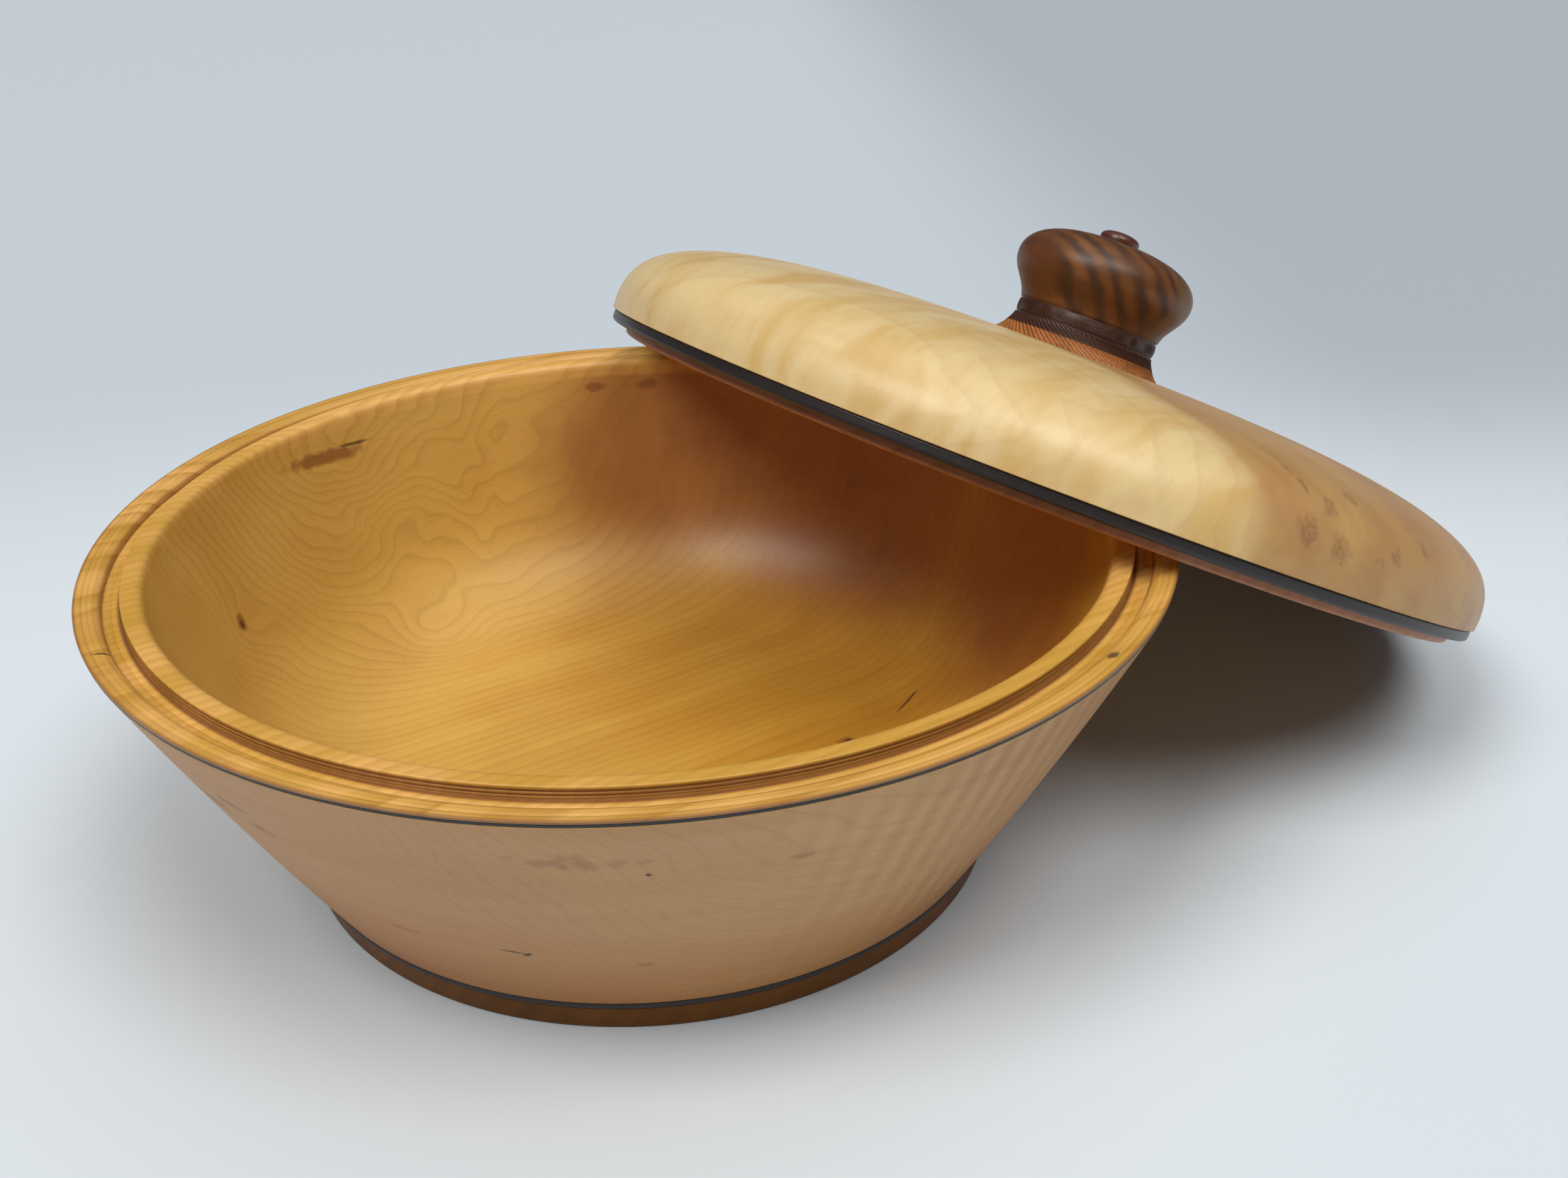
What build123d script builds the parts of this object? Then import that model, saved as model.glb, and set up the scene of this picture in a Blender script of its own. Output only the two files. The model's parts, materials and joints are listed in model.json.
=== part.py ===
"""A turned maple bowl for go stones, with its domed lid leaning open against the rim.

Millimetres. The bowl's axis is Z, the table is z = 0 and the origin is the centre of the foot.
The lid and its finial are drawn upright about their own axis, with z = 0 at the dome's lower
edge, and then placed together in the leaning pose.
"""

import math
import os

from build123d import *

# ---- bowl: driving sizes ----
RIM_RADIUS = 130.4
BOWL_HEIGHT = 84.0
FOOT_RADIUS = 87.1
FOOT_FLARE = 2.1
FOOT_HEIGHT = 6.5
FOOT_CHAMFER = 0.6
FOOT_REST_WIDTH = 17.0
FOOT_RECESS = 2.5
FOOT_BAND_THICKNESS = 1.9
FOOT_BAND_PROUD = 0.3
FLOOR_THICKNESS = 11.0
INNER_ROOT = 3.0
FLOOR_SWEEP_RADIUS = 40.0

# ---- bowl: the channelled rim, from the outside in ----
RIM_LAND = 3.8
RIM_COVE = 2.3
COVE_SWELL = 0.38
CHANNEL_WIDTH = 4.1
CHANNEL_DEPTH = 2.3
LIP_WIDTH = 4.8
LIP_RISE = 3.2
LIP_ROUND = 1.6
LIP_EDGE = 0.4
LINE_THICKNESS = 0.9
LINE_WIDTH = 3.5
RIM_EDGE = 0.7
RIM_OVERHANG = 0.3
WALL_SWELL = 0.8

# ---- lid: driving sizes ----
LID_SETBACK = 0.4
DOME_HEIGHT = 32.5
DOME_FULLNESS = 3.0
HOLLOW_DEPTH = 16.1
HOLLOW_FULLNESS = 2.7
DOME_STEPS = 12
CROWN_LEAVE = 0.33
CROWN_SETTLE = 0.4
CROWN_RADIUS = 26.1
BAND_INSET = 1.0
BAND_HEIGHT = 3.2
BAND_ROUND = 1.1
SPIGOT_CLEARANCE = 0.15
SPIGOT_HEIGHT = 2.3
SPIGOT_WALL = 3.5
SPIGOT_CHAMFER = 0.6

# ---- finial: driving sizes, from the crown of the lid upwards ----
BASE_HEIGHT = 3.4
BASE_HOLLOW = 0.28
COLLAR_HEIGHT = 3.1
COLLAR_HOLLOW = 0.16
STEM_RADIUS = 20.9
FLARE_RADIUS = 22.4
GROOVE = 0.45
RING_HEIGHT = 3.6
KNOB_RADIUS = 26.2
KNOB_HEIGHT = 23.2
KNOB_WIDEST = 12.1
KNOB_SHOULDER_INSET = 3.56
KNOB_SHOULDER_DROP = 3.82
KNOB_DIP = 0.11
BUTTON_RADIUS = 5.8
BUTTON_HEIGHT = 3.2
BUTTON_SIDE = 0.96
BUTTON_PIN_RADIUS = 2.0
BUTTON_PIN_LENGTH = 5.0
SPINDLE_RADIUS = 5.0
SPINDLE_SOCKET = 7.5
SPINDLE_IN_KNOB = 14.0
GLUE_GAP = 0.05

# ---- the leaning pose ----
LID_BEARING = 32.6
LEAN_BEARING = 32.2
LID_OFFSET = 8.4
LEAN_GAP = 0.3

# ---- heights and radii that follow ----
BAND_BASE = FOOT_HEIGHT
BODY_BASE = FOOT_HEIGHT + FOOT_BAND_THICKNESS
FLOOR_TOP = BODY_BASE + FLOOR_THICKNESS
LINE_TOP = BOWL_HEIGHT - RIM_EDGE
LINE_BASE = LINE_TOP - LINE_THICKNESS
CHANNEL_FLOOR = BOWL_HEIGHT - CHANNEL_DEPTH
LIP_TOP = CHANNEL_FLOOR + LIP_RISE
BODY_FOOT_RADIUS = FOOT_RADIUS + FOOT_FLARE
BODY_RIM_RADIUS = RIM_RADIUS - RIM_OVERHANG
COVE_TOP_RADIUS = RIM_RADIUS - RIM_LAND
CHANNEL_RADIUS = COVE_TOP_RADIUS - RIM_COVE
LIP_RADIUS = CHANNEL_RADIUS - CHANNEL_WIDTH
MOUTH_RADIUS = LIP_RADIUS - LIP_WIDTH
SEAT_RADIUS = BODY_RIM_RADIUS - LINE_WIDTH
SPIGOT_RADIUS = CHANNEL_RADIUS - SPIGOT_CLEARANCE
HOLLOW_RADIUS = SPIGOT_RADIUS - SPIGOT_WALL
LID_RADIUS = RIM_RADIUS - LID_SETBACK
BAND_RADIUS = LID_RADIUS - BAND_INSET
BAND_NECK = BAND_RADIUS - BAND_ROUND
BAND_SIDE = -BAND_HEIGHT + BAND_ROUND
BAND_CORNER = (
    BAND_NECK + BAND_ROUND * math.sqrt(0.5),
    BAND_SIDE - BAND_ROUND * math.sqrt(0.5),
)
SPIGOT_LOW = -BAND_HEIGHT - SPIGOT_HEIGHT


def turned(*edges):
    """The solid of revolution of a closed outline drawn in XZ, with x as the radius."""
    return revolve(make_face(Wire(edges)), Axis.Z)


def path(*points):
    """Straight edges through the points (radius, height)."""
    return [Line((a[0], 0, a[1]), (b[0], 0, b[1])) for a, b in zip(points, points[1:])]


def arc(start, middle, end):
    """One arc through three points (radius, height)."""
    return ThreePointArc(*[(p[0], 0, p[1]) for p in (start, middle, end)])


def bow(start, end, swell):
    """One arc between two points, standing out by swell to its right-hand side."""
    run, rise = end[0] - start[0], end[1] - start[1]
    length = math.hypot(run, rise)
    middle = (
        (start[0] + end[0]) / 2 + swell * rise / length,
        (start[1] + end[1]) / 2 - swell * run / length,
    )
    return arc(start, middle, end)


def oval_height(radius, edge_radius, height, fullness):
    """Height of a full-shouldered dome at a radius."""
    share = min(abs(radius) / edge_radius, 1.0)
    return height * (1 - share**fullness) ** (1 / fullness)


def oval_edge(edge_radius, height, fullness, inner_radius):
    """The dome's outline from its edge to an inner radius.

    Arcs go round the shoulder while their circles stay clear of the axis, and one easy curve
    covers the nearly flat crown.
    """
    last = math.acos(inner_radius / edge_radius)
    radii = [edge_radius * math.cos(last * i / DOME_STEPS) for i in range(DOME_STEPS + 1)]
    points = [(r, oval_height(r, edge_radius, height, fullness)) for r in radii]
    shoulder, reached = [], 0
    while reached + 2 < DOME_STEPS:
        piece = arc(*points[reached : reached + 3])
        if piece.radius > piece.arc_center.X:
            break
        shoulder.append(piece)
        reached += 2
    start, end = points[reached], points[-1]
    run, lead = start[0] - end[0], shoulder[-1] % 1
    leave = (start[0] + lead.X * run * CROWN_LEAVE, 0, start[1] + lead.Z * run * CROWN_LEAVE)
    settle = (end[0] + run * CROWN_SETTLE, 0, end[1])
    return [*shoulder, Bezier((start[0], 0, start[1]), leave, settle, (end[0], 0, end[1]))]


def dowel(radius, low, high):
    """A plain round peg on the axis."""
    return Pos(0, 0, low) * Cylinder(
        radius, high - low, align=(Align.CENTER, Align.CENTER, Align.MIN)
    )


# ---- bowl pieces ----
def make_foot_disc():
    rest_inner = FOOT_RADIUS - FOOT_REST_WIDTH
    top_radius = FOOT_RADIUS + FOOT_FLARE * FOOT_HEIGHT / BODY_BASE
    outline = path(
        (0, FOOT_RECESS),
        (rest_inner - FOOT_RECESS, FOOT_RECESS),
        (rest_inner, 0),
        (FOOT_RADIUS - FOOT_CHAMFER, 0),
        (FOOT_RADIUS, FOOT_CHAMFER),
        (top_radius, FOOT_HEIGHT),
        (0, FOOT_HEIGHT),
        (0, FOOT_RECESS),
    )
    return turned(*outline)


def make_foot_band():
    low = FOOT_RADIUS + FOOT_FLARE * BAND_BASE / BODY_BASE + FOOT_BAND_PROUD
    high = BODY_FOOT_RADIUS + FOOT_BAND_PROUD
    bead = bow((low, BAND_BASE), (high, BODY_BASE), FOOT_BAND_PROUD)
    outline = path((high, BODY_BASE), (0, BODY_BASE), (0, BAND_BASE), (low, BAND_BASE))
    return turned(bead, *outline)


def make_bowl_body():
    outer = bow((BODY_FOOT_RADIUS, BODY_BASE), (BODY_RIM_RADIUS, LINE_BASE), WALL_SWELL)
    rim = path(
        (BODY_RIM_RADIUS, LINE_BASE),
        (SEAT_RADIUS, LINE_BASE),
        (SEAT_RADIUS, CHANNEL_FLOOR),
        (LIP_RADIUS, CHANNEL_FLOOR),
        (LIP_RADIUS, LIP_TOP - LIP_EDGE),
        (LIP_RADIUS - LIP_EDGE, LIP_TOP),
        (MOUTH_RADIUS + LIP_ROUND, LIP_TOP),
    )
    # the wall runs straight down from the mouth and sweeps into the flat floor
    wall_top = (MOUTH_RADIUS, LIP_TOP - LIP_ROUND)
    wall_root = (BODY_FOOT_RADIUS + INNER_ROOT, FLOOR_TOP)
    fall = math.atan2(wall_top[0] - wall_root[0], wall_top[1] - wall_root[1])
    reach = FLOOR_SWEEP_RADIUS * math.tan((math.pi / 2 - fall) / 2)
    sweep_top = (wall_root[0] + reach * math.sin(fall), FLOOR_TOP + reach * math.cos(fall))
    sweep_low = (wall_root[0] - reach, FLOOR_TOP)
    half = (math.pi / 2 - fall) / 2
    sweep_middle = (
        sweep_low[0] + FLOOR_SWEEP_RADIUS * math.sin(half),
        FLOOR_TOP + FLOOR_SWEEP_RADIUS * (1 - math.cos(half)),
    )
    lip_inset = LIP_ROUND * (1 - math.sqrt(0.5))
    lip_middle = (MOUTH_RADIUS + lip_inset, LIP_TOP - lip_inset)
    lip = arc((MOUTH_RADIUS + LIP_ROUND, LIP_TOP), lip_middle, wall_top)
    sweep = arc(sweep_top, sweep_middle, sweep_low)
    inside = path(wall_top, sweep_top)
    floor = path(sweep_low, (0, FLOOR_TOP), (0, BODY_BASE), (BODY_FOOT_RADIUS, BODY_BASE))
    return turned(outer, *rim, lip, *inside, sweep, *floor)


def make_rim_line():
    outline = path(
        (SEAT_RADIUS, LINE_BASE),
        (BODY_RIM_RADIUS, LINE_BASE),
        (BODY_RIM_RADIUS, LINE_TOP),
        (SEAT_RADIUS, LINE_TOP),
        (SEAT_RADIUS, LINE_BASE),
    )
    return turned(*outline)


def make_rim_ring():
    half_edge = RIM_EDGE / 2
    cove_foot = (CHANNEL_RADIUS, CHANNEL_FLOOR + half_edge)
    cove = bow((COVE_TOP_RADIUS, BOWL_HEIGHT), cove_foot, COVE_SWELL)
    outline = path(
        cove_foot,
        (CHANNEL_RADIUS, CHANNEL_FLOOR),
        (SEAT_RADIUS, CHANNEL_FLOOR),
        (SEAT_RADIUS, LINE_TOP),
        (RIM_RADIUS - RIM_OVERHANG / 3, LINE_TOP),
        (RIM_RADIUS, LINE_TOP + half_edge),
        (RIM_RADIUS - half_edge, BOWL_HEIGHT),
        (COVE_TOP_RADIUS, BOWL_HEIGHT),
    )
    return turned(cove, *outline)


# ---- lid pieces, upright, z = 0 at the dome's lower edge ----
def make_lid_dome():
    outer = oval_edge(LID_RADIUS, DOME_HEIGHT, DOME_FULLNESS, CROWN_RADIUS)
    crown = oval_height(CROWN_RADIUS, LID_RADIUS, DOME_HEIGHT, DOME_FULLNESS)
    inner = oval_edge(HOLLOW_RADIUS, HOLLOW_DEPTH, HOLLOW_FULLNESS, 0)
    outline = path((CROWN_RADIUS, crown), (0, crown), (0, HOLLOW_DEPTH))
    dome = turned(*outer, *outline, *inner, *path((HOLLOW_RADIUS, 0), (LID_RADIUS, 0)))
    return dome - dowel(SPINDLE_RADIUS + GLUE_GAP, crown - SPINDLE_SOCKET, crown + 1)


def make_lid_band():
    corner = arc((BAND_NECK, -BAND_HEIGHT), BAND_CORNER, (BAND_RADIUS, BAND_SIDE))
    outline = path(
        (BAND_RADIUS, BAND_SIDE),
        (BAND_RADIUS, 0),
        (HOLLOW_RADIUS, 0),
        (HOLLOW_RADIUS, -BAND_HEIGHT),
        (BAND_NECK, -BAND_HEIGHT),
    )
    return turned(corner, *outline)


def make_lid_spigot():
    outline = path(
        (HOLLOW_RADIUS, -BAND_HEIGHT),
        (HOLLOW_RADIUS, SPIGOT_LOW),
        (SPIGOT_RADIUS - SPIGOT_CHAMFER, SPIGOT_LOW),
        (SPIGOT_RADIUS, SPIGOT_LOW + SPIGOT_CHAMFER),
        (SPIGOT_RADIUS, -BAND_HEIGHT),
        (HOLLOW_RADIUS, -BAND_HEIGHT),
    )
    return turned(*outline)


# ---- finial pieces ----
CROWN = oval_height(CROWN_RADIUS, LID_RADIUS, DOME_HEIGHT, DOME_FULLNESS)
COLLAR_BASE = CROWN + BASE_HEIGHT
RING_BASE = COLLAR_BASE + COLLAR_HEIGHT + GROOVE
KNOB_BASE = RING_BASE + RING_HEIGHT + GROOVE
KNOB_TOP = KNOB_BASE + KNOB_HEIGHT
BUTTON_SEAT = KNOB_TOP - KNOB_DIP
NECK_RADIUS = STEM_RADIUS - GROOVE


def bored(piece, low, high):
    """A finial piece with the spindle's hole through it."""
    return piece - dowel(SPINDLE_RADIUS + GLUE_GAP, low - 1, high)


def make_finial_base():
    foot = (CROWN_RADIUS - GROOVE, CROWN)
    sweep = bow(foot, (FLARE_RADIUS, COLLAR_BASE), -BASE_HOLLOW)
    outline = path((FLARE_RADIUS, COLLAR_BASE), (0, COLLAR_BASE), (0, CROWN), foot)
    return bored(turned(sweep, *outline), CROWN, COLLAR_BASE + 1)


def make_finial_collar():
    top = COLLAR_BASE + COLLAR_HEIGHT
    sweep = bow((FLARE_RADIUS, COLLAR_BASE), (STEM_RADIUS, top), -COLLAR_HOLLOW)
    outline = path(
        (STEM_RADIUS, top),
        (NECK_RADIUS, top),
        (NECK_RADIUS, RING_BASE),
        (0, RING_BASE),
        (0, COLLAR_BASE),
        (FLARE_RADIUS, COLLAR_BASE),
    )
    return bored(turned(sweep, *outline), COLLAR_BASE, RING_BASE + 1)


def make_finial_ring():
    top = RING_BASE + RING_HEIGHT
    edge = STEM_RADIUS - GROOVE / 2
    bead = bow((edge, RING_BASE), (edge, top), GROOVE / 2)
    outline = path((edge, top), (0, top), (0, RING_BASE), (edge, RING_BASE))
    return bored(turned(bead, *outline), RING_BASE, top + 1)


def make_finial_knob():
    widest = (KNOB_RADIUS, 0, KNOB_BASE + KNOB_WIDEST)
    waist = Spline((STEM_RADIUS, 0, KNOB_BASE), widest, tangents=[(0.25, 0, 1), (0, 0, 1)])
    crown = Spline(
        widest,
        (KNOB_RADIUS - KNOB_SHOULDER_INSET, 0, KNOB_TOP - KNOB_SHOULDER_DROP),
        (BUTTON_RADIUS, 0, BUTTON_SEAT),
        tangents=[(0, 0, 1), (-1, 0, 0.06)],
    )
    foot = KNOB_BASE - GROOVE
    outline = path(
        (BUTTON_RADIUS, BUTTON_SEAT),
        (0, BUTTON_SEAT),
        (0, foot),
        (NECK_RADIUS, foot),
        (NECK_RADIUS, KNOB_BASE),
        (STEM_RADIUS, KNOB_BASE),
    )
    knob = bored(turned(waist, crown, *outline), foot, KNOB_BASE + SPINDLE_IN_KNOB)
    pin_hole = BUTTON_SEAT - BUTTON_PIN_LENGTH - GLUE_GAP
    return knob - dowel(BUTTON_PIN_RADIUS + GLUE_GAP, pin_hole, BUTTON_SEAT + 1)


def make_finial_button():
    shoulder = (BUTTON_RADIUS, BUTTON_SEAT + BUTTON_SIDE)
    crown = (0, BUTTON_SEAT + BUTTON_HEIGHT)
    dome = Spline(
        (shoulder[0], 0, shoulder[1]), (crown[0], 0, crown[1]), tangents=[(0, 0, 1), (-1, 0, 0)]
    )
    pin = BUTTON_SEAT - BUTTON_PIN_LENGTH
    outline = path(
        crown,
        (0, pin),
        (BUTTON_PIN_RADIUS, pin),
        (BUTTON_PIN_RADIUS, BUTTON_SEAT),
        (BUTTON_RADIUS, BUTTON_SEAT),
        shoulder,
    )
    return turned(dome, *outline)


def make_finial_spindle():
    return dowel(SPINDLE_RADIUS, CROWN - SPINDLE_SOCKET, KNOB_BASE + SPINDLE_IN_KNOB - GLUE_GAP)


# ---- the leaning pose ----
LID_UNDERSIDE = (
    (SPIGOT_RADIUS, SPIGOT_LOW + SPIGOT_CHAMFER),
    (SPIGOT_RADIUS - SPIGOT_CHAMFER, SPIGOT_LOW),
    (BAND_NECK, -BAND_HEIGHT),
    BAND_CORNER,
    (BAND_RADIUS, BAND_SIDE),
    (LID_RADIUS, 0),
)
RIM_EDGES = (
    (RIM_RADIUS, LINE_TOP),
    (RIM_RADIUS - RIM_EDGE / 2, BOWL_HEIGHT),
    (COVE_TOP_RADIUS, BOWL_HEIGHT),
    (LIP_RADIUS, LIP_TOP),
    (MOUTH_RADIUS, LIP_TOP - LIP_ROUND),
)
RIM_STEPS = 720


def lean_axes(tilt):
    """The lid's axis when it leans by tilt, and its centre with the lower edge on the table."""
    bearing = math.radians(LEAN_BEARING)
    across = math.sin(tilt)
    axis = Vector(across * math.cos(bearing), across * math.sin(bearing), math.cos(tilt))
    height = max(r * math.sin(tilt) - z * math.cos(tilt) for r, z in LID_UNDERSIDE)
    reach = RIM_RADIUS + LID_OFFSET
    spot = math.radians(LID_BEARING)
    return axis, Vector(reach * math.cos(spot), reach * math.sin(spot), height)


def underside(out):
    """Height of the lid's underside at a radius: its hollow, its spigot, its band, then nothing."""
    if out < HOLLOW_RADIUS - LEAN_GAP:
        return oval_height(out, HOLLOW_RADIUS, HOLLOW_DEPTH, HOLLOW_FULLNESS)
    if out < SPIGOT_RADIUS + LEAN_GAP:
        return SPIGOT_LOW
    if out < BAND_RADIUS + LEAN_GAP:
        return -BAND_HEIGHT
    return 0 if out < LID_RADIUS + LEAN_GAP else None


def lean_clearance(tilt):
    """The smallest gap between the lid's underside and the rim's edges, along the lid's axis."""
    axis, centre = lean_axes(tilt)
    gaps = []
    for step in range(RIM_STEPS):
        angle = math.tau * step / RIM_STEPS
        for radius, height in RIM_EDGES:
            off = Vector(radius * math.cos(angle), radius * math.sin(angle), height) - centre
            rise = off.dot(axis)
            under = underside((off - axis * rise).length)
            if under is not None:
                gaps.append(under - rise)
    return min(gaps)


def lean_tilt():
    """The tilt at which the lid rests on the rim with the lean gap left between them."""
    low, high = math.radians(5), math.radians(75)
    for _ in range(40):
        middle = (low + high) / 2
        if lean_clearance(middle) < LEAN_GAP:
            low = middle
        else:
            high = middle
    return high


TILT = lean_tilt()
LID_AXIS, LID_CENTRE = lean_axes(TILT)
LID_PLACE = Plane(
    origin=LID_CENTRE,
    x_dir=(-math.sin(math.radians(LEAN_BEARING)), math.cos(math.radians(LEAN_BEARING)), 0),
    z_dir=LID_AXIS,
).location

BOWL_PIECES = {
    "foot_disc": make_foot_disc,
    "foot_band": make_foot_band,
    "bowl_body": make_bowl_body,
    "rim_line": make_rim_line,
    "rim_ring": make_rim_ring,
}
LID_PIECES = {
    "lid_dome": make_lid_dome,
    "lid_band": make_lid_band,
    "lid_spigot": make_lid_spigot,
    "finial_base": make_finial_base,
    "finial_collar": make_finial_collar,
    "finial_ring": make_finial_ring,
    "finial_knob": make_finial_knob,
    "finial_button": make_finial_button,
    "finial_spindle": make_finial_spindle,
}


def main():
    os.makedirs("parts", exist_ok=True)
    centre = tuple(round(v, 2) for v in LID_CENTRE)
    print("lean", round(math.degrees(TILT), 2), "degrees, lid centre", centre)
    for name, make in BOWL_PIECES.items():
        export_step(make(), f"parts/{name}.step")
    for name, make in LID_PIECES.items():
        export_step(LID_PLACE * make(), f"parts/{name}.step")


main()
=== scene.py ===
"""Looks for a turned maple bowl with a domed lid: every piece is turned on its axis again at full
finish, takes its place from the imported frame, and gets its own wood.

Lengths in the property groups are metres. Patterns in the woods are worked out in millimetres.
"""

import json
import math

import bmesh
import bpy
from mathutils import Matrix, Vector


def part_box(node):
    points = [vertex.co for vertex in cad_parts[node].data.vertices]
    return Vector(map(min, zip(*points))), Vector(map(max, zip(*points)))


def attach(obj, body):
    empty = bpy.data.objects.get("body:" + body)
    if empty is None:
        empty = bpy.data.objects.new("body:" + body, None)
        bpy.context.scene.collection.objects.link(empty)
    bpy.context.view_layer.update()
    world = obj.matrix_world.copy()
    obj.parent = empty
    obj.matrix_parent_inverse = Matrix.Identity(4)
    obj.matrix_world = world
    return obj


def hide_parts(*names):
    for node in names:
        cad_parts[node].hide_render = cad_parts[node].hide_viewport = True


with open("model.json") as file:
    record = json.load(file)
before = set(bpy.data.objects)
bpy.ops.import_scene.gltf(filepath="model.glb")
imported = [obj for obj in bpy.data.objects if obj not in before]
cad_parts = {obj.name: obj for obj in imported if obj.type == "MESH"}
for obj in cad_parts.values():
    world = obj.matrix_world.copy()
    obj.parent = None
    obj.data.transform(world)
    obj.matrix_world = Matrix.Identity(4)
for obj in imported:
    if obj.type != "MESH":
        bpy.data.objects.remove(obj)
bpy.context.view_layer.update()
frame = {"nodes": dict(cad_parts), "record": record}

bl_info = {
    "name": "Turned bowl",
    "version": (1, 0, 0),
    "blender": (4, 5, 0),
    "location": "View3D > Sidebar > Turned bowl",
    "description": "Turns the bowl, its lid and finial, and sets the stage",
    "category": "Object",
}

MM = 0.001
PER_MM = 1000.0
ROUND_STEPS = 4
SHARP_ANGLE = math.radians(50)
FLAT_ENOUGH = 0.999


# ---- what the frame says ----
def middle_of(node):
    """A point close to the axis of a round node: the mean of its separate corners."""
    spots = {tuple(round(c, 6) for c in v.co) for v in frame["nodes"][node].data.vertices}
    return sum((Vector(s) for s in spots), Vector()) / len(spots)


def reach_of(node):
    """The largest radius of an upright round node."""
    low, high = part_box(node)
    return (high.x - low.x) / 2


def height_of(node):
    low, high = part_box(node)
    return low.z, high.z


def lid_place():
    """The matrix that carries an upright lid, z = 0 at the dome's lower edge, to where it leans.

    The flat faces of the lid's spigot face exactly along its axis and lie evenly round it.
    """
    spigot = frame["nodes"]["lid_spigot"].data
    rough = (middle_of("finial_ring") - middle_of("lid_spigot")).normalized()
    flats = [face for face in spigot.polygons if abs(face.normal.dot(rough)) > FLAT_ENOUGH]
    facing = (f.normal * math.copysign(f.area, f.normal.dot(rough)) for f in flats)
    axis = sum(facing, Vector()).normalized()
    inside = sum((f.center * f.area for f in flats), Vector()) / sum(f.area for f in flats)
    side = (Vector((1, 0, 0)) - axis * axis.x).normalized()
    turn = Matrix((side, axis.cross(side), axis)).transposed().to_4x4()
    lowest = min((v.co - inside).dot(axis) for v in frame["nodes"]["lid_dome"].data.vertices)
    return Matrix.Translation(inside + axis * lowest) @ turn


# ---- turning ----
def rounded(corners, closed):
    """Outline points (radius, height) from corners; a third number rounds a corner by that much."""
    points = []
    for i, corner in enumerate(corners):
        here = Vector(corner[:2])
        if len(corner) == 2 or (not closed and i in (0, len(corners) - 1)):
            points.append(here)
            continue
        back = Vector(corners[i - 1][:2]) - here
        on = Vector(corners[(i + 1) % len(corners)][:2]) - here
        cut = min(corner[2], back.length * 0.4, on.length * 0.4)
        start, end = here + back.normalized() * cut, here + on.normalized() * cut
        points.append(here + back.normalized() * cut * 1.2)
        for k in range(ROUND_STEPS + 1):
            t = k / ROUND_STEPS
            points.append(start * (1 - t) ** 2 + here * 2 * t * (1 - t) + end * t * t)
        points.append(here + on.normalized() * cut * 1.2)
    return points


def swell(start, end, bow, steps):
    """The points between two ends of a shallow arc that stands out by bow to its right."""
    run = Vector(end) - Vector(start)
    out = Vector((run.y, -run.x)).normalized()
    shares = [k / steps for k in range(1, steps)]
    return [tuple(Vector(start) + run * t + out * bow * 4 * t * (1 - t)) for t in shares]


def curve(start, start_pull, end_pull, end, steps):
    """The points between two ends of a cubic curve."""
    a, b, c, d = (Vector(p) for p in (start, start_pull, end_pull, end))
    points = []
    for k in range(1, steps):
        t = k / steps
        s = 1 - t
        points.append(tuple(a * s**3 + b * 3 * s * s * t + c * 3 * s * t * t + d * t**3))
    return points


def dome_height(radius, edge, height, fullness):
    return height * (1 - min(radius / edge, 1.0) ** fullness) ** (1 / fullness)


def dome_points(edge, height, fullness, inner, steps):
    """Points of a full-shouldered dome's outline, from its edge to an inner radius."""
    last = math.acos(inner / edge)
    radii = [edge * math.cos(last * i / steps) for i in range(steps + 1)]
    return [(r, dome_height(r, edge, height, fullness)) for r in radii]


def turned(name, corners, steps, place=None, ridges=None):
    """A piece turned from an outline. An outline that starts and ends on the axis is left open there."""
    closed = corners[0][0] > 0
    bm = bmesh.new()
    verts = [bm.verts.new((p.x, 0, p.y)) for p in rounded(corners, closed)]
    edges = [bm.edges.new(pair) for pair in zip(verts, verts[1:])]
    if closed:
        edges.append(bm.edges.new((verts[-1], verts[0])))
    bmesh.ops.spin(
        bm,
        geom=verts + edges,
        cent=(0, 0, 0),
        axis=(0, 0, 1),
        dvec=(0, 0, 0),
        angle=math.tau,
        steps=steps,
        use_merge=True,
        use_duplicate=False,
    )
    bmesh.ops.remove_doubles(bm, verts=bm.verts[:], dist=1e-7)
    bmesh.ops.recalc_face_normals(bm, faces=bm.faces[:])
    if ridges:
        for vert in bm.verts:
            vert.co = ridges(vert.co)
    if place:
        bm.transform(place)
    for face in bm.faces:
        face.smooth = True
    mesh = bpy.data.meshes.new(name)
    bm.to_mesh(mesh)
    bm.free()
    mesh.set_sharp_from_angle(angle=SHARP_ANGLE)
    piece = bpy.data.objects.new(name, mesh)
    bpy.context.scene.collection.objects.link(piece)
    return piece


def fit(piece, node, finish):
    """Puts a turned piece in place of its CAD node and on the node's body."""
    piece.data.materials.append(finish.material)
    body = next(b for b, nodes in frame["record"]["behaviour"]["bodies"].items() if node in nodes)
    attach(piece, body)
    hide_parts(node)
    return piece


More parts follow.
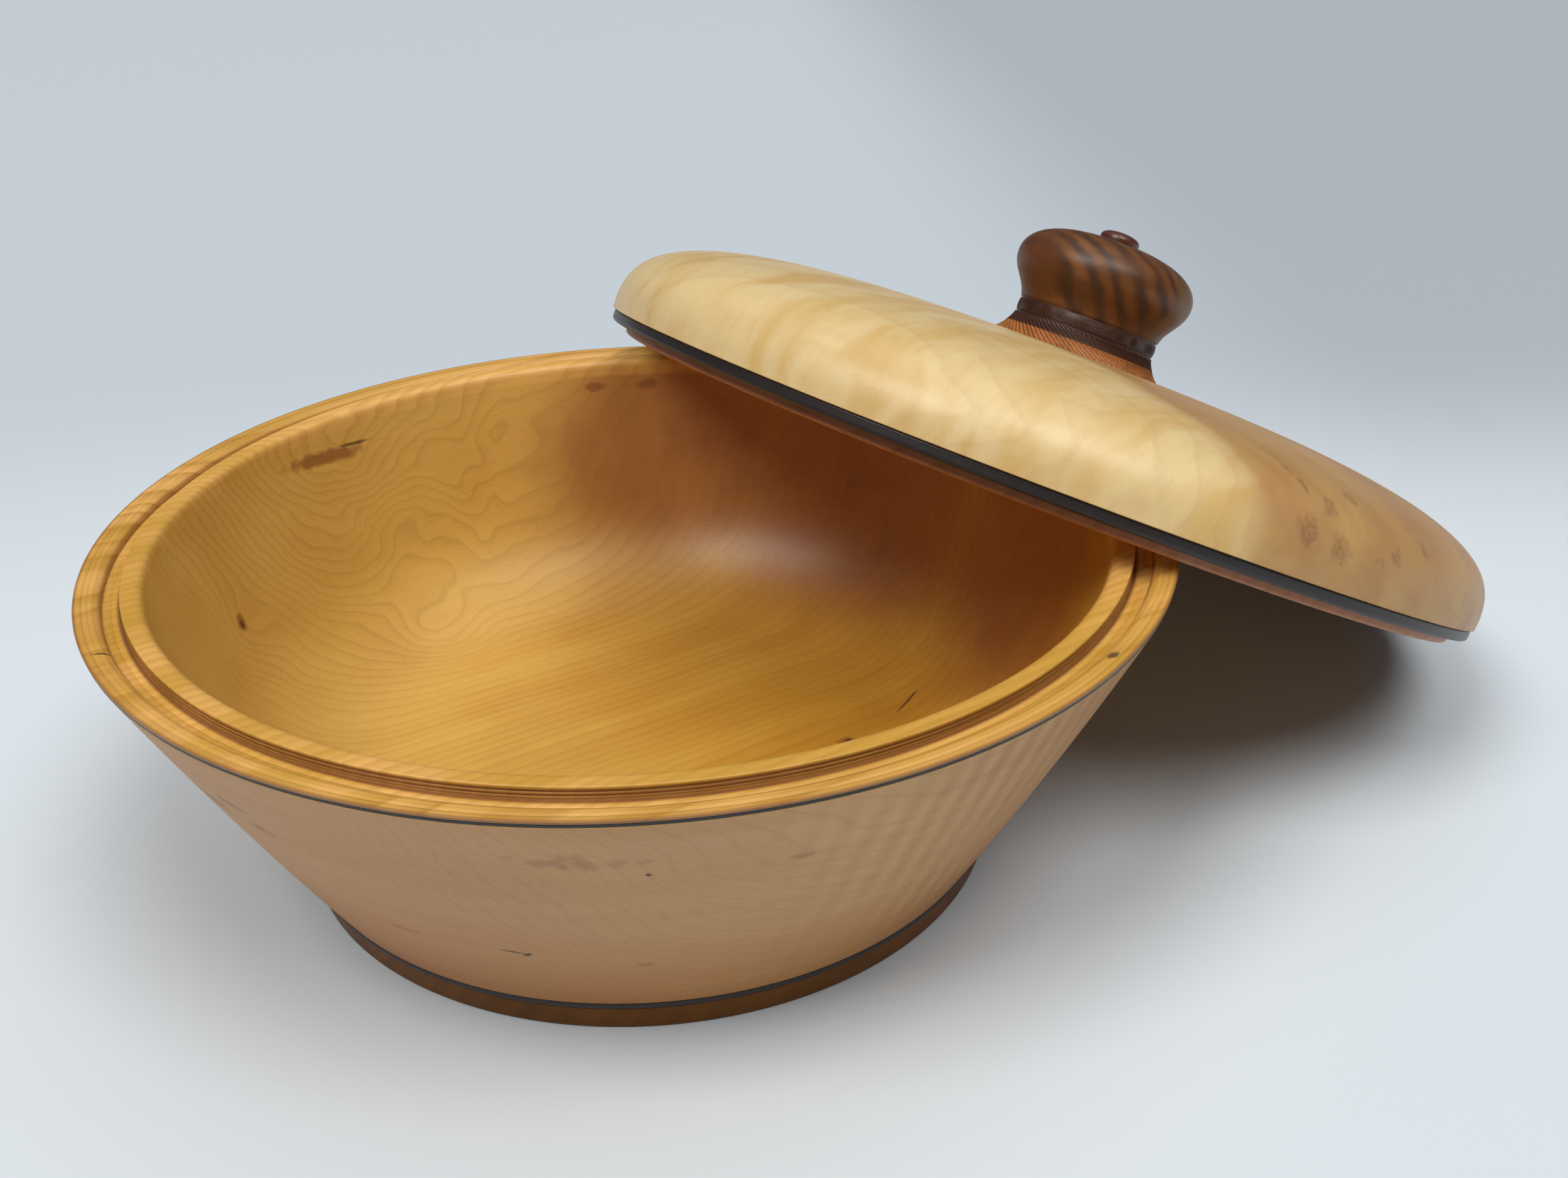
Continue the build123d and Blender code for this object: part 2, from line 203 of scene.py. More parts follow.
# ---- shader arithmetic ----
class Value:
    """A shader socket that Python's arithmetic joins up into Math nodes."""

    def __init__(self, finish, socket):
        self.finish, self.socket = finish, socket

    def maths(self, operation, *values):
        return self.finish.node("ShaderNodeMath", {"operation": operation}, dict(enumerate(values)))

    def __add__(self, other):
        return self.maths("ADD", self, other)

    def __sub__(self, other):
        return self.maths("SUBTRACT", self, other)

    def __rsub__(self, other):
        return self.maths("SUBTRACT", other, self)

    def __mul__(self, other):
        return self.maths("MULTIPLY", self, other)

    def __truediv__(self, other):
        return self.maths("DIVIDE", self, other)

    def __pow__(self, other):
        return self.maths("POWER", self, other)

    __radd__ = __add__
    __rmul__ = __mul__

    def fraction(self):
        return self.maths("FRACT", self)

    def sine(self):
        return self.maths("SINE", self)

    def cosine(self):
        return self.maths("COSINE", self)

    def angle(self, other):
        """The angle in radians whose sine goes with this value and its cosine with the other."""
        return self.maths("ARCTAN2", self, other)

    def most(self, other):
        return self.maths("MAXIMUM", self, other)

    def smooth(self, low, high):
        """0 below low, 1 above high, and a soft step between them."""
        return self.finish.node(
            "ShaderNodeMapRange",
            {"interpolation_type": "SMOOTHSTEP"},
            {"Value": self, "From Min": low, "From Max": high},
            "Result",
        )

    def between(self, low, high, soft):
        """1 between two values and 0 outside them."""
        return self.smooth(low - soft, low + soft) * (1 - self.smooth(high - soft, high + soft))


class Finish:
    """A wood or a stain: one material with a Principled shader."""

    def __init__(self, name, roughness=0.45, coat=0.0, coat_roughness=0.3, specular=0.5):
        self.material = bpy.data.materials.new(name)
        self.material.use_nodes = True
        self.tree = self.material.node_tree
        self.shader = self.tree.nodes["Principled BSDF"]
        self.shader.inputs["Roughness"].default_value = roughness
        self.shader.inputs["Coat Weight"].default_value = coat
        self.shader.inputs["Coat Roughness"].default_value = coat_roughness
        self.shader.inputs["Specular IOR Level"].default_value = specular
        self.object_spot = self.node("ShaderNodeTexCoord", out="Object")

    def node(self, kind, settings=None, values=None, out=0):
        made = self.tree.nodes.new(kind)
        for key, setting in (settings or {}).items():
            setattr(made, key, setting)
        for key, value in (values or {}).items():
            if isinstance(value, Value):
                self.tree.links.new(value.socket, made.inputs[key])
            else:
                made.inputs[key].default_value = value
        return Value(self, made.outputs[out])

    def placed(self, turn=None, scale=PER_MM):
        """Object coordinates in millimetres, carried back by a placing matrix if there is one."""
        back = turn.inverted() if turn else Matrix.Identity(4)
        values = {
            "Vector": self.object_spot,
            "Location": back.translation * scale,
            "Rotation": back.to_euler("XYZ"),
            "Scale": (scale, scale, scale),
        }
        return self.node("ShaderNodeMapping", {"vector_type": "POINT"}, values)

    def stretched(self, spot, scale, shift=(0, 0, 0)):
        values = {"Vector": spot, "Scale": scale, "Location": shift}
        return self.node("ShaderNodeMapping", {"vector_type": "POINT"}, values)

    def noise(self, spot, detail=2.0, roughness=0.5, out="Fac"):
        values = {"Vector": spot, "Scale": 1.0, "Detail": detail, "Roughness": roughness}
        return self.node("ShaderNodeTexNoise", {"noise_dimensions": "3D"}, values, out)

    def vector(self, operation, first, second):
        return self.node("ShaderNodeVectorMath", {"operation": operation}, {0: first, 1: second})

    def drifted(self, spot, scale, amount, shift=(0, 0, 0)):
        """The spot moved about by up to half the amount, in soft clouds."""
        cloud = self.noise(self.stretched(spot, scale, shift), out="Color")
        centred = self.vector("SUBTRACT", cloud, (0.5, 0.5, 0.5))
        return self.vector("ADD", spot, self.vector("MULTIPLY", centred, amount))

    def parts(self, spot):
        split = self.node("ShaderNodeSeparateXYZ", values={"Vector": spot})
        outputs = split.socket.node.outputs
        return [Value(self, outputs[axis]) for axis in "XYZ"]

    def length(self, spot):
        return self.node("ShaderNodeVectorMath", {"operation": "LENGTH"}, {0: spot}, "Value")

    def blend(self, share, first, second, way="MIX"):
        settings = {"data_type": "RGBA", "blend_type": way}
        return self.node("ShaderNodeMix", settings, {0: share, 6: first, 7: second}, 2)

    def shaded(self, colour, share, tint):
        """The colour multiplied by a tint, where share is 1."""
        return self.blend(share, colour, tint, "MULTIPLY")

    def mark(self, spot, centre, size, turn=(0, 0, 0), ragged=0.5):
        """A soft ragged blot around a point, with half sizes along its own turned axes."""
        values = {"Vector": spot, "Location": centre, "Rotation": turn, "Scale": size}
        local = self.node("ShaderNodeMapping", {"vector_type": "TEXTURE"}, values)
        edge = self.noise(self.stretched(spot, (0.35, 0.35, 0.35)), 3.0)
        reach = self.length(local) + (edge - 0.5) * ragged * 2
        return 1 - reach.smooth(0.45, 1.0)

    def soft_rise(self, spot, centre, size):
        """A smooth hill around a point, 1 at its top and 0 at its half sizes."""
        values = {"Vector": spot, "Location": centre, "Scale": size}
        local = self.node("ShaderNodeMapping", {"vector_type": "TEXTURE"}, values)
        return 1 - self.length(local).smooth(0.0, 1.0)

    def marks(self, spot, places, ragged=0.5):
        """Several blots at once; each place is a centre, half sizes and a turn."""
        found = None
        for centre, size, turn in places:
            one = self.mark(spot, centre, size, turn, ragged)
            found = one if found is None else found.most(one)
        return found

    def bump(self, height, distance, strength=1.0, under=None):
        values = {"Height": height, "Distance": distance, "Strength": strength}
        if under:
            values["Normal"] = under
        return self.node("ShaderNodeBump", values=values)

    def finish(self, colour, roughness=None, normal=None, coat=None):
        links = {"Base Color": colour, "Roughness": roughness, "Normal": normal, "Coat Weight": coat}
        for key, value in links.items():
            if value is not None:
                self.tree.links.new(value.socket, self.shader.inputs[key])
        return self


class Grain:
    """The figure of a board in millimetres: x runs along the grain, the pith lies off to one side."""

    def __init__(self, finish, board, spacing, pith, sway, seed, bulge=None, wobble=0.6):
        shift = (seed * 7.3, seed * 3.1, seed * 5.7)
        bent = finish.drifted(board, (0.006, 0.014, 0.014), (sway, sway, sway), shift)
        self.x, y, z = finish.parts(bent)
        across = ((y - pith[0]) ** 2 + (z - pith[1]) ** 2) ** 0.5
        ring = across / spacing
        if bulge is not None:
            ring = ring + bulge
        ragged = finish.noise(finish.stretched(board, (0.025, 0.07, 0.07), shift), 3.0)
        ring = ring + ragged * wobble
        uneven = finish.noise(finish.stretched(bent, (0.004, 0.06, 0.06), shift), 1.0)
        self.step = (ring + uneven * 2.5).fraction()
        self.late = self.step.smooth(0.2, 0.85) * (1 - self.step.smooth(0.88, 1.0))
        self.line = self.step.smooth(0.68, 0.88) * (1 - self.step.smooth(0.9, 1.0))
        self.fibre = finish.noise(finish.stretched(bent, (0.045, 1.5, 1.5), shift), 4.0, 0.6)
        self.fine = finish.noise(finish.stretched(bent, (0.16, 4.0, 4.0), shift), 2.0)
        self.fleck = finish.noise(finish.stretched(board, (0.5, 2.2, 2.2), shift), 1.0).smooth(0.68, 0.76)
        self.broad = finish.noise(finish.stretched(bent, (0.007, 0.07, 0.07), shift), 3.0)
        self.cloud = finish.noise(finish.stretched(board, (0.018, 0.024, 0.024), shift), 2.0)

    def curl(self, finish, board, period, sway, seed):
        """Fiddleback: soft bars across the grain, -1 to 1."""
        x, _, _ = finish.parts(finish.drifted(board, (0.03, 0.02, 0.02), (sway, sway, sway), (seed,) * 3))
        strength = finish.noise(finish.stretched(board, (0.03, 0.03, 0.03), (seed * 2,) * 3), 1.0)
        return (x * (math.tau / period)).sine() * strength.smooth(0.3, 0.65)


# ---- sizes and colours that a user would change ----
def length(name, description, value):
    return bpy.props.FloatProperty(
        name=name, description=description, default=value, min=0.0, unit="LENGTH", precision=5
    )


def shade(name, description, value):
    return bpy.props.FloatVectorProperty(
        name=name, description=description, default=value, size=4, min=0.0, max=1.0, subtype="COLOR"
    )


def number(name, description, value):
    return bpy.props.FloatProperty(name=name, description=description, default=value)


class BowlSizes(bpy.types.PropertyGroup):
    floor_thickness: length("Floor", "Thickness of the bowl's floor", 0.011)
    inner_root: length("Inner root", "How far out the inner wall's line meets the floor", 0.003)
    sweep: length("Sweep", "Radius between wall and floor", 0.040)
    land: length("Land", "Flat outer top of the rim", 0.0038)
    cove: length("Cove", "Width of the cove beside the land", 0.0023)
    channel: length("Channel", "Width of the channel for the lid", 0.0041)
    channel_depth: length("Channel depth", "Channel's floor below the land", 0.0023)
    lip_width: length("Lip", "Width of the inner lip", 0.0048)
    line_width: length("Line width", "How deep the rim's black line is let in", 0.0035)
    wall_swell: length("Wall swell", "How far the outer wall bows out", 0.0008)
    foot_rest: length("Foot rest", "Width of the ring that the foot stands on", 0.017)
    foot_recess: length("Foot recess", "Depth of the hollow under the foot", 0.0025)
    turning_steps: bpy.props.IntProperty(
        name="Turning steps", description="Facets around the bowl and lid", default=256, min=24
    )


class LidSizes(bpy.types.PropertyGroup):
    radius: length("Radius", "Radius at the dome's lower edge", 0.12992)
    dome: length("Dome", "Height of the dome over its edge", 0.0325)
    fullness: number("Fullness", "How full the dome's shoulder is", 3.0)
    hollow: length("Hollow", "Depth of the hollow underneath", 0.0161)
    spigot_radius: length("Spigot radius", "Outer radius of the ring that drops into the rim", 0.12415)
    spigot_wall: length("Spigot wall", "Thickness of that ring", 0.0035)
    spigot_height: length("Spigot height", "Height of that ring", 0.0023)
    hollow_fullness: number("Hollow fullness", "How full the hollow's shoulder is", 2.7)
    band_inset: length("Band inset", "How far the black band stands in under the dome", 0.00095)
    band_round: length("Band round", "Rounding of the black band's lower corner", 0.00135)
    band_height: length("Band height", "Height of the black band", 0.0032)
    crown: length("Crown", "Radius of the finial's seat", 0.0261)


class FinialSizes(bpy.types.PropertyGroup):
    base: length("Base", "Height of the pale flare", 0.0034)
    collar: length("Collar", "Height of the dark flare", 0.0031)
    stem: length("Stem", "Radius at the top of the flare", 0.0209)
    flare: length("Flare", "Radius where the two woods of the flare meet", 0.0224)
    groove: length("Groove", "Depth and height of the fine grooves", 0.00045)
    ring: length("Ring", "Height of the textured ring", 0.0036)
    knob_radius: length("Knob radius", "Largest radius of the knob", 0.0262)
    knob: length("Knob", "Height of the knob", 0.0232)
    widest: length("Widest", "Height at which the knob is widest", 0.0121)
    dip: length("Dip", "How far the cap's seat is let into the knob", 0.00011)
    button_radius: length("Button radius", "Radius of the cap on top", 0.0058)
    button: length("Button", "Height of the cap on top", 0.0032)
    ridges: bpy.props.IntProperty(name="Ridges", description="Spiral ridges around the flare", default=84)
    ridge_depth: length("Ridge depth", "Depth of the spiral ridges", 0.00055)
    ridge_twist: number("Ridge twist", "Turn of a ridge for each metre of height, in radians", 75.0)


class WoodColours(bpy.types.PropertyGroup):
    # This colour is partly painted light: it paints the left inside wall yellower and lighter than the right.
    butter: shade("Butter", "Yellowest wood, on the left inside the bowl", (0.67, 0.400, 0.086, 1))
    honey: shade("Honey", "Lighter wood inside the bowl", (0.60, 0.325, 0.042, 1))
    amber: shade("Amber", "Darker wood inside the bowl", (0.50, 0.235, 0.024, 1))
    umber: shade("Umber", "Growth lines and stains inside the bowl", (0.26, 0.09, 0.012, 1))
    # This colour is partly the wood's reddish heart and partly painted shade with a painted warm reflection,
    # where the lid shades the back and right walls inside.
    blush_and_shade: shade("Blush", "Reddish heart on the wall inside", (0.34, 0.10, 0.03, 1))
    pale: shade("Pale", "Light wood outside", (0.64, 0.385, 0.155, 1))
    dusk: shade("Dusk", "Pinkish wood outside", (0.56, 0.300, 0.130, 1))
    rim: shade("Rim", "Wood of the rim's land", (0.84, 0.455, 0.125, 1))
    # This colour is the painted shade on the lip's outer side, in the channel's corner and down in the cove;
    # it also reddens the rim's outer edge.
    riser: shade("Riser", "Darkened wood on the lip's outer side", (0.20, 0.06, 0.02, 1))
    # The foot's colour is partly its own brown wood and partly painted shade where the foot meets the floor.
    foot: shade("Foot", "Wood of the foot", (0.120, 0.044, 0.004, 1))
    cream: shade("Cream", "Light wood of the lid", (0.80, 0.60, 0.295, 1))
    straw: shade("Straw", "Deeper bars in the light wood of the lid", (0.68, 0.42, 0.125, 1))
    tan: shade("Tan", "Heartwood on the lid's lower side", (0.385, 0.172, 0.046, 1))
    stain: shade("Stain", "Brown stains on the lid", (0.23, 0.11, 0.045, 1))
    spigot: shade("Spigot", "Ring under the lid's black bead", (0.50, 0.185, 0.075, 1))
    ebony: shade("Ebony", "Black lines", (0.012, 0.010, 0.010, 1))
    ginger: shade("Ginger", "Pale flare of the finial", (0.48, 0.165, 0.034, 1))
    cocoa: shade("Cocoa", "Dark flare and ring of the finial", (0.060, 0.018, 0.008, 1))
    walnut: shade("Walnut", "Dark stripes of the knob", (0.066, 0.023, 0.006, 1))
    gold: shade("Gold", "Golden stripes of the knob", (0.200, 0.072, 0.012, 1))
    garnet: shade("Garnet", "The cap on the knob", (0.13, 0.03, 0.015, 1))
    burn: shade("Burn", "Small dark nicks in the rim", (0.06, 0.022, 0.01, 1))


class StageSizes(bpy.types.PropertyGroup):
    camera_back: length("Camera back", "How far the camera stands in front of the bowl's axis", 0.39965)
    camera_up: length("Camera height", "Height of the camera over the table", 0.26455)
    camera_turn: number("Camera turn", "Turn of the camera to the right, in radians", 0.0900)
    camera_dip: number("Camera dip", "Dip of the camera, in radians", 0.4661)
    camera_roll: number("Camera roll", "Roll of the camera, in radians", -0.0213)
    lens: number("Lens", "Focal length on a 36 mm sensor, in millimetres", 41.01)
    floor: length("Floor", "Width of the floor", 4.0)


# ---- woods ----
BOWL_GRAIN = Matrix.Rotation(math.radians(29), 4, "Z")
LID_GRAIN = Matrix.Rotation(math.radians(-48), 4, "Z")


def bowl_wood(sizes, colours):
    """Maple: honey and amber inside, paler and drier outside, with painted shade on the lip's outer side."""
    wood = Finish("bowl maple", roughness=0.4, coat=0.12, coat_roughness=0.32)
    row = wood.placed()
    board = wood.placed(BOWL_GRAIN)
    x, y, z = wood.parts(row)
    bulge = wood.soft_rise(row, (-86, 74, 76), (60, 60, 46)) * 7
    bulge = bulge - wood.soft_rise(row, (-60, 86, 56), (34, 30, 34)) * 3
    bulge = bulge + wood.soft_rise(row, (-58, 62, 24), (20, 20, 20)) * 2.5
    bulge = bulge + wood.soft_rise(row, (-102, 19, 52), (18, 18, 22)) * 2
    eddies = wood.noise(wood.stretched(row, (0.035, 0.035, 0.035), (5, 5, 5)), 2.0) - 0.5
    bulge = bulge + eddies * wood.soft_rise(row, (-60, 84, 58), (80, 70, 60)) * 9
    grain = Grain(wood, board, 3.3, (-210, 70), 16, 1, bulge, 0.8)
    flat = wood.length(wood.vector("MULTIPLY", row, (1, 1, 0)))

    # inside
    # Yellower and lighter to the left, deeper amber to the right: partly the wood's own tone, partly painted
    # light on the left wall and painted shade on the right wall where the lid shades it.
    side = (x + (grain.cloud - 0.5) * 70).smooth(-75, 60)
    light = wood.blend(side, tuple(colours.butter), tuple(colours.honey))
    inside = wood.blend(grain.broad.smooth(0.30, 0.70) * (side * 0.45 + 0.25), light, tuple(colours.amber))
    inside = wood.shaded(inside, grain.cloud.smooth(0.45, 0.75) * 0.4, (0.84, 0.70, 0.56, 1))
    ringed = grain.cloud.smooth(0.25, 0.6) * 0.5 + 0.5
    inside = wood.blend((grain.late * 0.09 + grain.line * 0.13) * ringed, inside, tuple(colours.umber))
    # A reddish heart on the back and right walls: partly the wood's own tone, partly painted shade with a
    # painted warm reflection where the lid shades the wall.
    heart = wood.soft_rise(row, (12, 108, 60), (62, 60, 52))
    heart = heart.most(wood.soft_rise(row, (72, 84, 50), (80, 70, 60)))
    heart = heart.most(wood.soft_rise(row, (104, 18, 50), (52, 70, 56)) * 0.8)
    inside = wood.blend(heart.smooth(0.0, 0.7) * 0.65, inside, tuple(colours.blush_and_shade))
    # Darker clouds within the heart zone add to its painted shade.
    shade_clouds = wood.noise(wood.stretched(row, (0.05, 0.05, 0.05)), 4.0).smooth(0.45, 0.75)
    inside = wood.shaded(inside, shade_clouds * heart * 0.6, (0.62, 0.50, 0.42, 1))
    knots = wood.marks(
        row,
        (
            ((-85, 73, 75.5), (17, 3.4, 2.6), (0, 0.1, 0.88)),
            ((-102.5, 19.3, 53), (2.6, 2.6, 4.6), (0, 0.3, 0)),
            ((-9.8, 113, 77.8), (4.2, 2, 1.8), (0, 0, 0)),
            ((6, 113, 78), (4.0, 3, 2.2), (0, 0, 0)),
            ((51.4, -4.1, 19.3), (3.4, 2.0, 2.0), (0, 0, 0.35)),
        ),
        0.45,
    )
    inside = wood.blend(knots * 0.86, inside, tuple(colours.umber))
    cores = wood.marks(
        row,
        (
            ((-79, 80, 76.4), (8, 0.9, 0.8), (0, 0.1, 0.80)),
            ((-102.5, 19.3, 52.2), (1.2, 1.2, 2.2), (0, 0.3, 0)),
            ((51.8, -3.9, 19.3), (1.5, 1.0, 1.0), (0, 0, 0.3)),
            ((71, 14, 20), (10, 0.5, 1.4), (0, 0, 0.9)),
        ),
        0.3,
    )
    inside = wood.blend(cores * 0.8, inside, (0.045, 0.018, 0.008, 1))

    # outside
    paler = (x + (grain.cloud - 0.5) * 90).smooth(-40, 95)
    outside = wood.blend(paler, tuple(colours.dusk), tuple(colours.pale))
    # Painted shade: the outside is darker and more orange low on the wall, towards the floor.
    outside = wood.shaded(outside, 1 - z.smooth(8, 50), (0.86, 0.68, 0.42, 1))
    # Painted shade: the outside is darker on its right side, under the lid.
    outside = wood.shaded(outside, x.smooth(35, 110), (0.80, 0.64, 0.48, 1))
    streaks = wood.noise(wood.stretched(row, (0.012, 0.012, 0.16)), 4.0).smooth(0.35, 0.7)
    outside = wood.shaded(outside, streaks * 0.35, (0.88, 0.76, 0.62, 1))
    outside = wood.blend(grain.line * 0.10, outside, tuple(colours.umber))
    curl = grain.curl(wood, board, 7.0, 5, 3)
    curl_zone = x.smooth(5, 75)
    outside = wood.shaded(outside, (curl * 0.5 + 0.5) * curl_zone * 0.7, (0.74, 0.66, 0.56, 1))
    smudges = wood.marks(
        row,
        (
            ((-90.4, -76.4, 61), (7, 7, 3), (0, 0, 0.7)),
            ((-84, -86, 66), (6, 6, 2.4), (0, 0, 0.7)),
            ((-79, -87, 59.9), (4, 4, 2.0), (0, 0, 0.7)),
            ((28.1, -117, 64.8), (4.5, 3, 1.2), (0, 0.15, 0)),
            ((-12, -121, 72), (16, 4, 5), (0, 0, 0)),
            ((-52.7, -88.2, 32.9), (5, 4, 1.0), (0, 0, -0.5)),
            ((-3.3, -100.1, 28.3), (2.5, 3, 1.0), (0, 0, 0)),
        ),
        0.7,
    )
    outside = wood.shaded(outside, smudges * 0.5, (0.52, 0.44, 0.40, 1))
    cracks = wood.marks(
        row,
        (
            ((-30.7, -98, 32.5), (3.6, 2.5, 0.42), (0, 0.12, 0)),
            ((-27.6, -98.6, 32.0), (1.6, 2.5, 0.8), (0, -0.7, 0)),
            ((-1.7, -120.6, 65.5), (0.9, 2.0, 0.8), (0, 0, 0)),
        ),
        0.35,
    )
    outside = wood.blend(cracks * 0.9, outside, (0.03, 0.015, 0.010, 1))

    # which side of the wall
    base, top = (v * PER_MM for v in height_of("bowl_body"))
    foot, rim = reach_of("foot_band") * PER_MM, reach_of("bowl_body") * PER_MM
    slope = (rim - foot) / (top - sizes.channel_depth * PER_MM - base)
    skin = (flat - ((z - base) * slope + foot)).smooth(-4.2, -3.2) * (1 - z.smooth(82.2, 82.5))
    # The split between the golden inside and the paler, pinker outside is partly the finish and partly
    # painted light.
    colour = wood.blend(skin, inside, outside)

    # the channelled rim
    lip = (reach_of("rim_ring") - sizes.land - sizes.cove - sizes.channel) * PER_MM
    channel_floor = (height_of("rim_ring")[0]) * PER_MM
    rim_zone = z.smooth(80.2, 81.2) * (1 - skin)
    rim_tone = wood.blend(grain.broad.smooth(0.3, 0.7), tuple(colours.rim), tuple(colours.honey))
    rim_tone = wood.blend(grain.late * 0.35, rim_tone, tuple(colours.amber))
    colour = wood.blend(rim_zone * flat.smooth(113, 116), colour, rim_tone)
    # Painted shade on the lip's outer side, down in the channel, with the turned rings showing through it.
    riser = flat.between(lip - 0.5, lip + 0.5, 0.2) * z.between(channel_floor - 0.3, top - 0.5, 0.3)
    rings = (z * (math.tau / 0.85) + grain.cloud * 4).sine()
    colour = wood.blend(riser * (0.62 + rings * 0.2), colour, tuple(colours.riser))
    # Painted shade in the corner where the channel floor meets the lip.
    corner = z.between(channel_floor - 0.5, channel_floor + 0.4, 0.2)
    corner = corner * flat.between(lip - 0.5, lip + 0.9, 0.3)
    colour = wood.blend(corner * 0.6, colour, tuple(colours.riser))
    colour = wood.shaded(colour, grain.fibre.smooth(0.45, 0.8) * 0.30, (0.80, 0.70, 0.60, 1))
    colour = wood.shaded(colour, grain.fleck * 0.35, (0.60, 0.46, 0.36, 1))

    tool = (flat * (math.tau / 0.9) + z * 1.2).sine()
    rough = 0.36 + grain.fibre * 0.16 + skin * 0.20 + (knots + cores).smooth(0, 1) * 0.15
    height = grain.fibre * 0.5 + grain.fine * 0.25 + tool * 0.05 - grain.fleck * 0.3 - cores * 3 - cracks * 3
    return wood.finish(colour, rough, wood.bump(height, 0.00006, 0.8))


def rim_wood(colours):
    """The rim's outer ring: orange maple, reddened at its outer edge, with painted shade down in the cove."""
    wood = Finish("rim maple", roughness=0.4, coat=0.12, coat_roughness=0.3)
    row = wood.placed()
    grain = Grain(wood, wood.placed(BOWL_GRAIN), 5.0, (-38, -96), 22, 2)
    flat = wood.length(wood.vector("MULTIPLY", row, (1, 1, 0)))
    _, _, z = wood.parts(row)
    rim = reach_of("rim_ring") * PER_MM
    colour = wood.blend(grain.broad.smooth(0.3, 0.7), tuple(colours.rim), tuple(colours.honey))
    colour = wood.blend(grain.late * 0.45 + grain.line * 0.2, colour, tuple(colours.amber))
    colour = wood.blend(flat.smooth(rim - 0.9, rim - 0.1) * 0.7, colour, tuple(colours.riser))
    # Painted shade down in the cove, darker towards the channel floor.
    colour = wood.blend((1 - z.smooth(81.9, 83.6)) * 0.6, colour, tuple(colours.riser))
    turning = (flat * (math.tau / 1.3) + grain.cloud * 5).sine()
    colour = wood.shaded(colour, turning.smooth(0.5, 1.0) * 0.35, (0.62, 0.46, 0.34, 1))
    nicks = wood.marks(
        row,
        (
            ((-113.8, -52.5, 84), (4.2, 0.6, 1.5), (0, 0, 0.15)),
            ((-60.6, 106.2, 84), (1.8, 1.4, 2), (0, 0, 0)),
            ((97, -82.1, 84), (2.0, 1.2, 2), (0, 0, 0.6)),
        ),
        0.4,
    )
    colour = wood.blend(nicks * 0.85, colour, tuple(colours.burn))
    colour = wood.shaded(colour, grain.fibre.smooth(0.45, 0.8) * 0.35, (0.80, 0.68, 0.56, 1))
    height = grain.fibre * 0.5 + turning * 0.15 - nicks * 1.5
    return wood.finish(colour, 0.36 + grain.fibre * 0.18, wood.bump(height, 0.00006, 0.8))


def foot_wood(colours):
    wood = Finish("foot wood", roughness=0.45, specular=0.15)
    board = wood.placed(BOWL_GRAIN)
    grain = Grain(wood, board, 4.0, (30, 70), 16, 5)
    # The foot colour carries painted shade from the floor contact as well as the wood's own brown.
    colour = wood.blend(grain.broad.smooth(0.3, 0.7) * 0.3, tuple(colours.foot), tuple(colours.umber))
    colour = wood.blend(grain.late * 0.2, colour, tuple(colours.umber))
    colour = wood.shaded(colour, grain.fibre.smooth(0.45, 0.8) * 0.4, (0.76, 0.64, 0.54, 1))
    height = grain.fibre * 0.6 + grain.fine * 0.3
    return wood.finish(colour, 0.36 + grain.fibre * 0.2, wood.bump(height, 0.00006, 0.8))


def black_line(colours, name, roughness, coat, place=None):
    """Black-dyed wood with its pores still showing."""
    wood = Finish(name, coat=coat, coat_roughness=0.15)
    board = wood.placed(place)
    pores = wood.noise(wood.stretched(board, (0.7, 2.4, 2.4)), 3.0)
    clouds = wood.noise(wood.stretched(board, (0.08, 0.08, 0.08)), 2.0)
    lift = pores.smooth(0.55, 0.8) * 0.5 + clouds * 0.3
    colour = wood.blend(lift, tuple(colours.ebony), (0.05, 0.028, 0.026, 1))
    return wood.finish(colour, roughness + pores * 0.14, wood.bump(pores, 0.00004, 0.6))


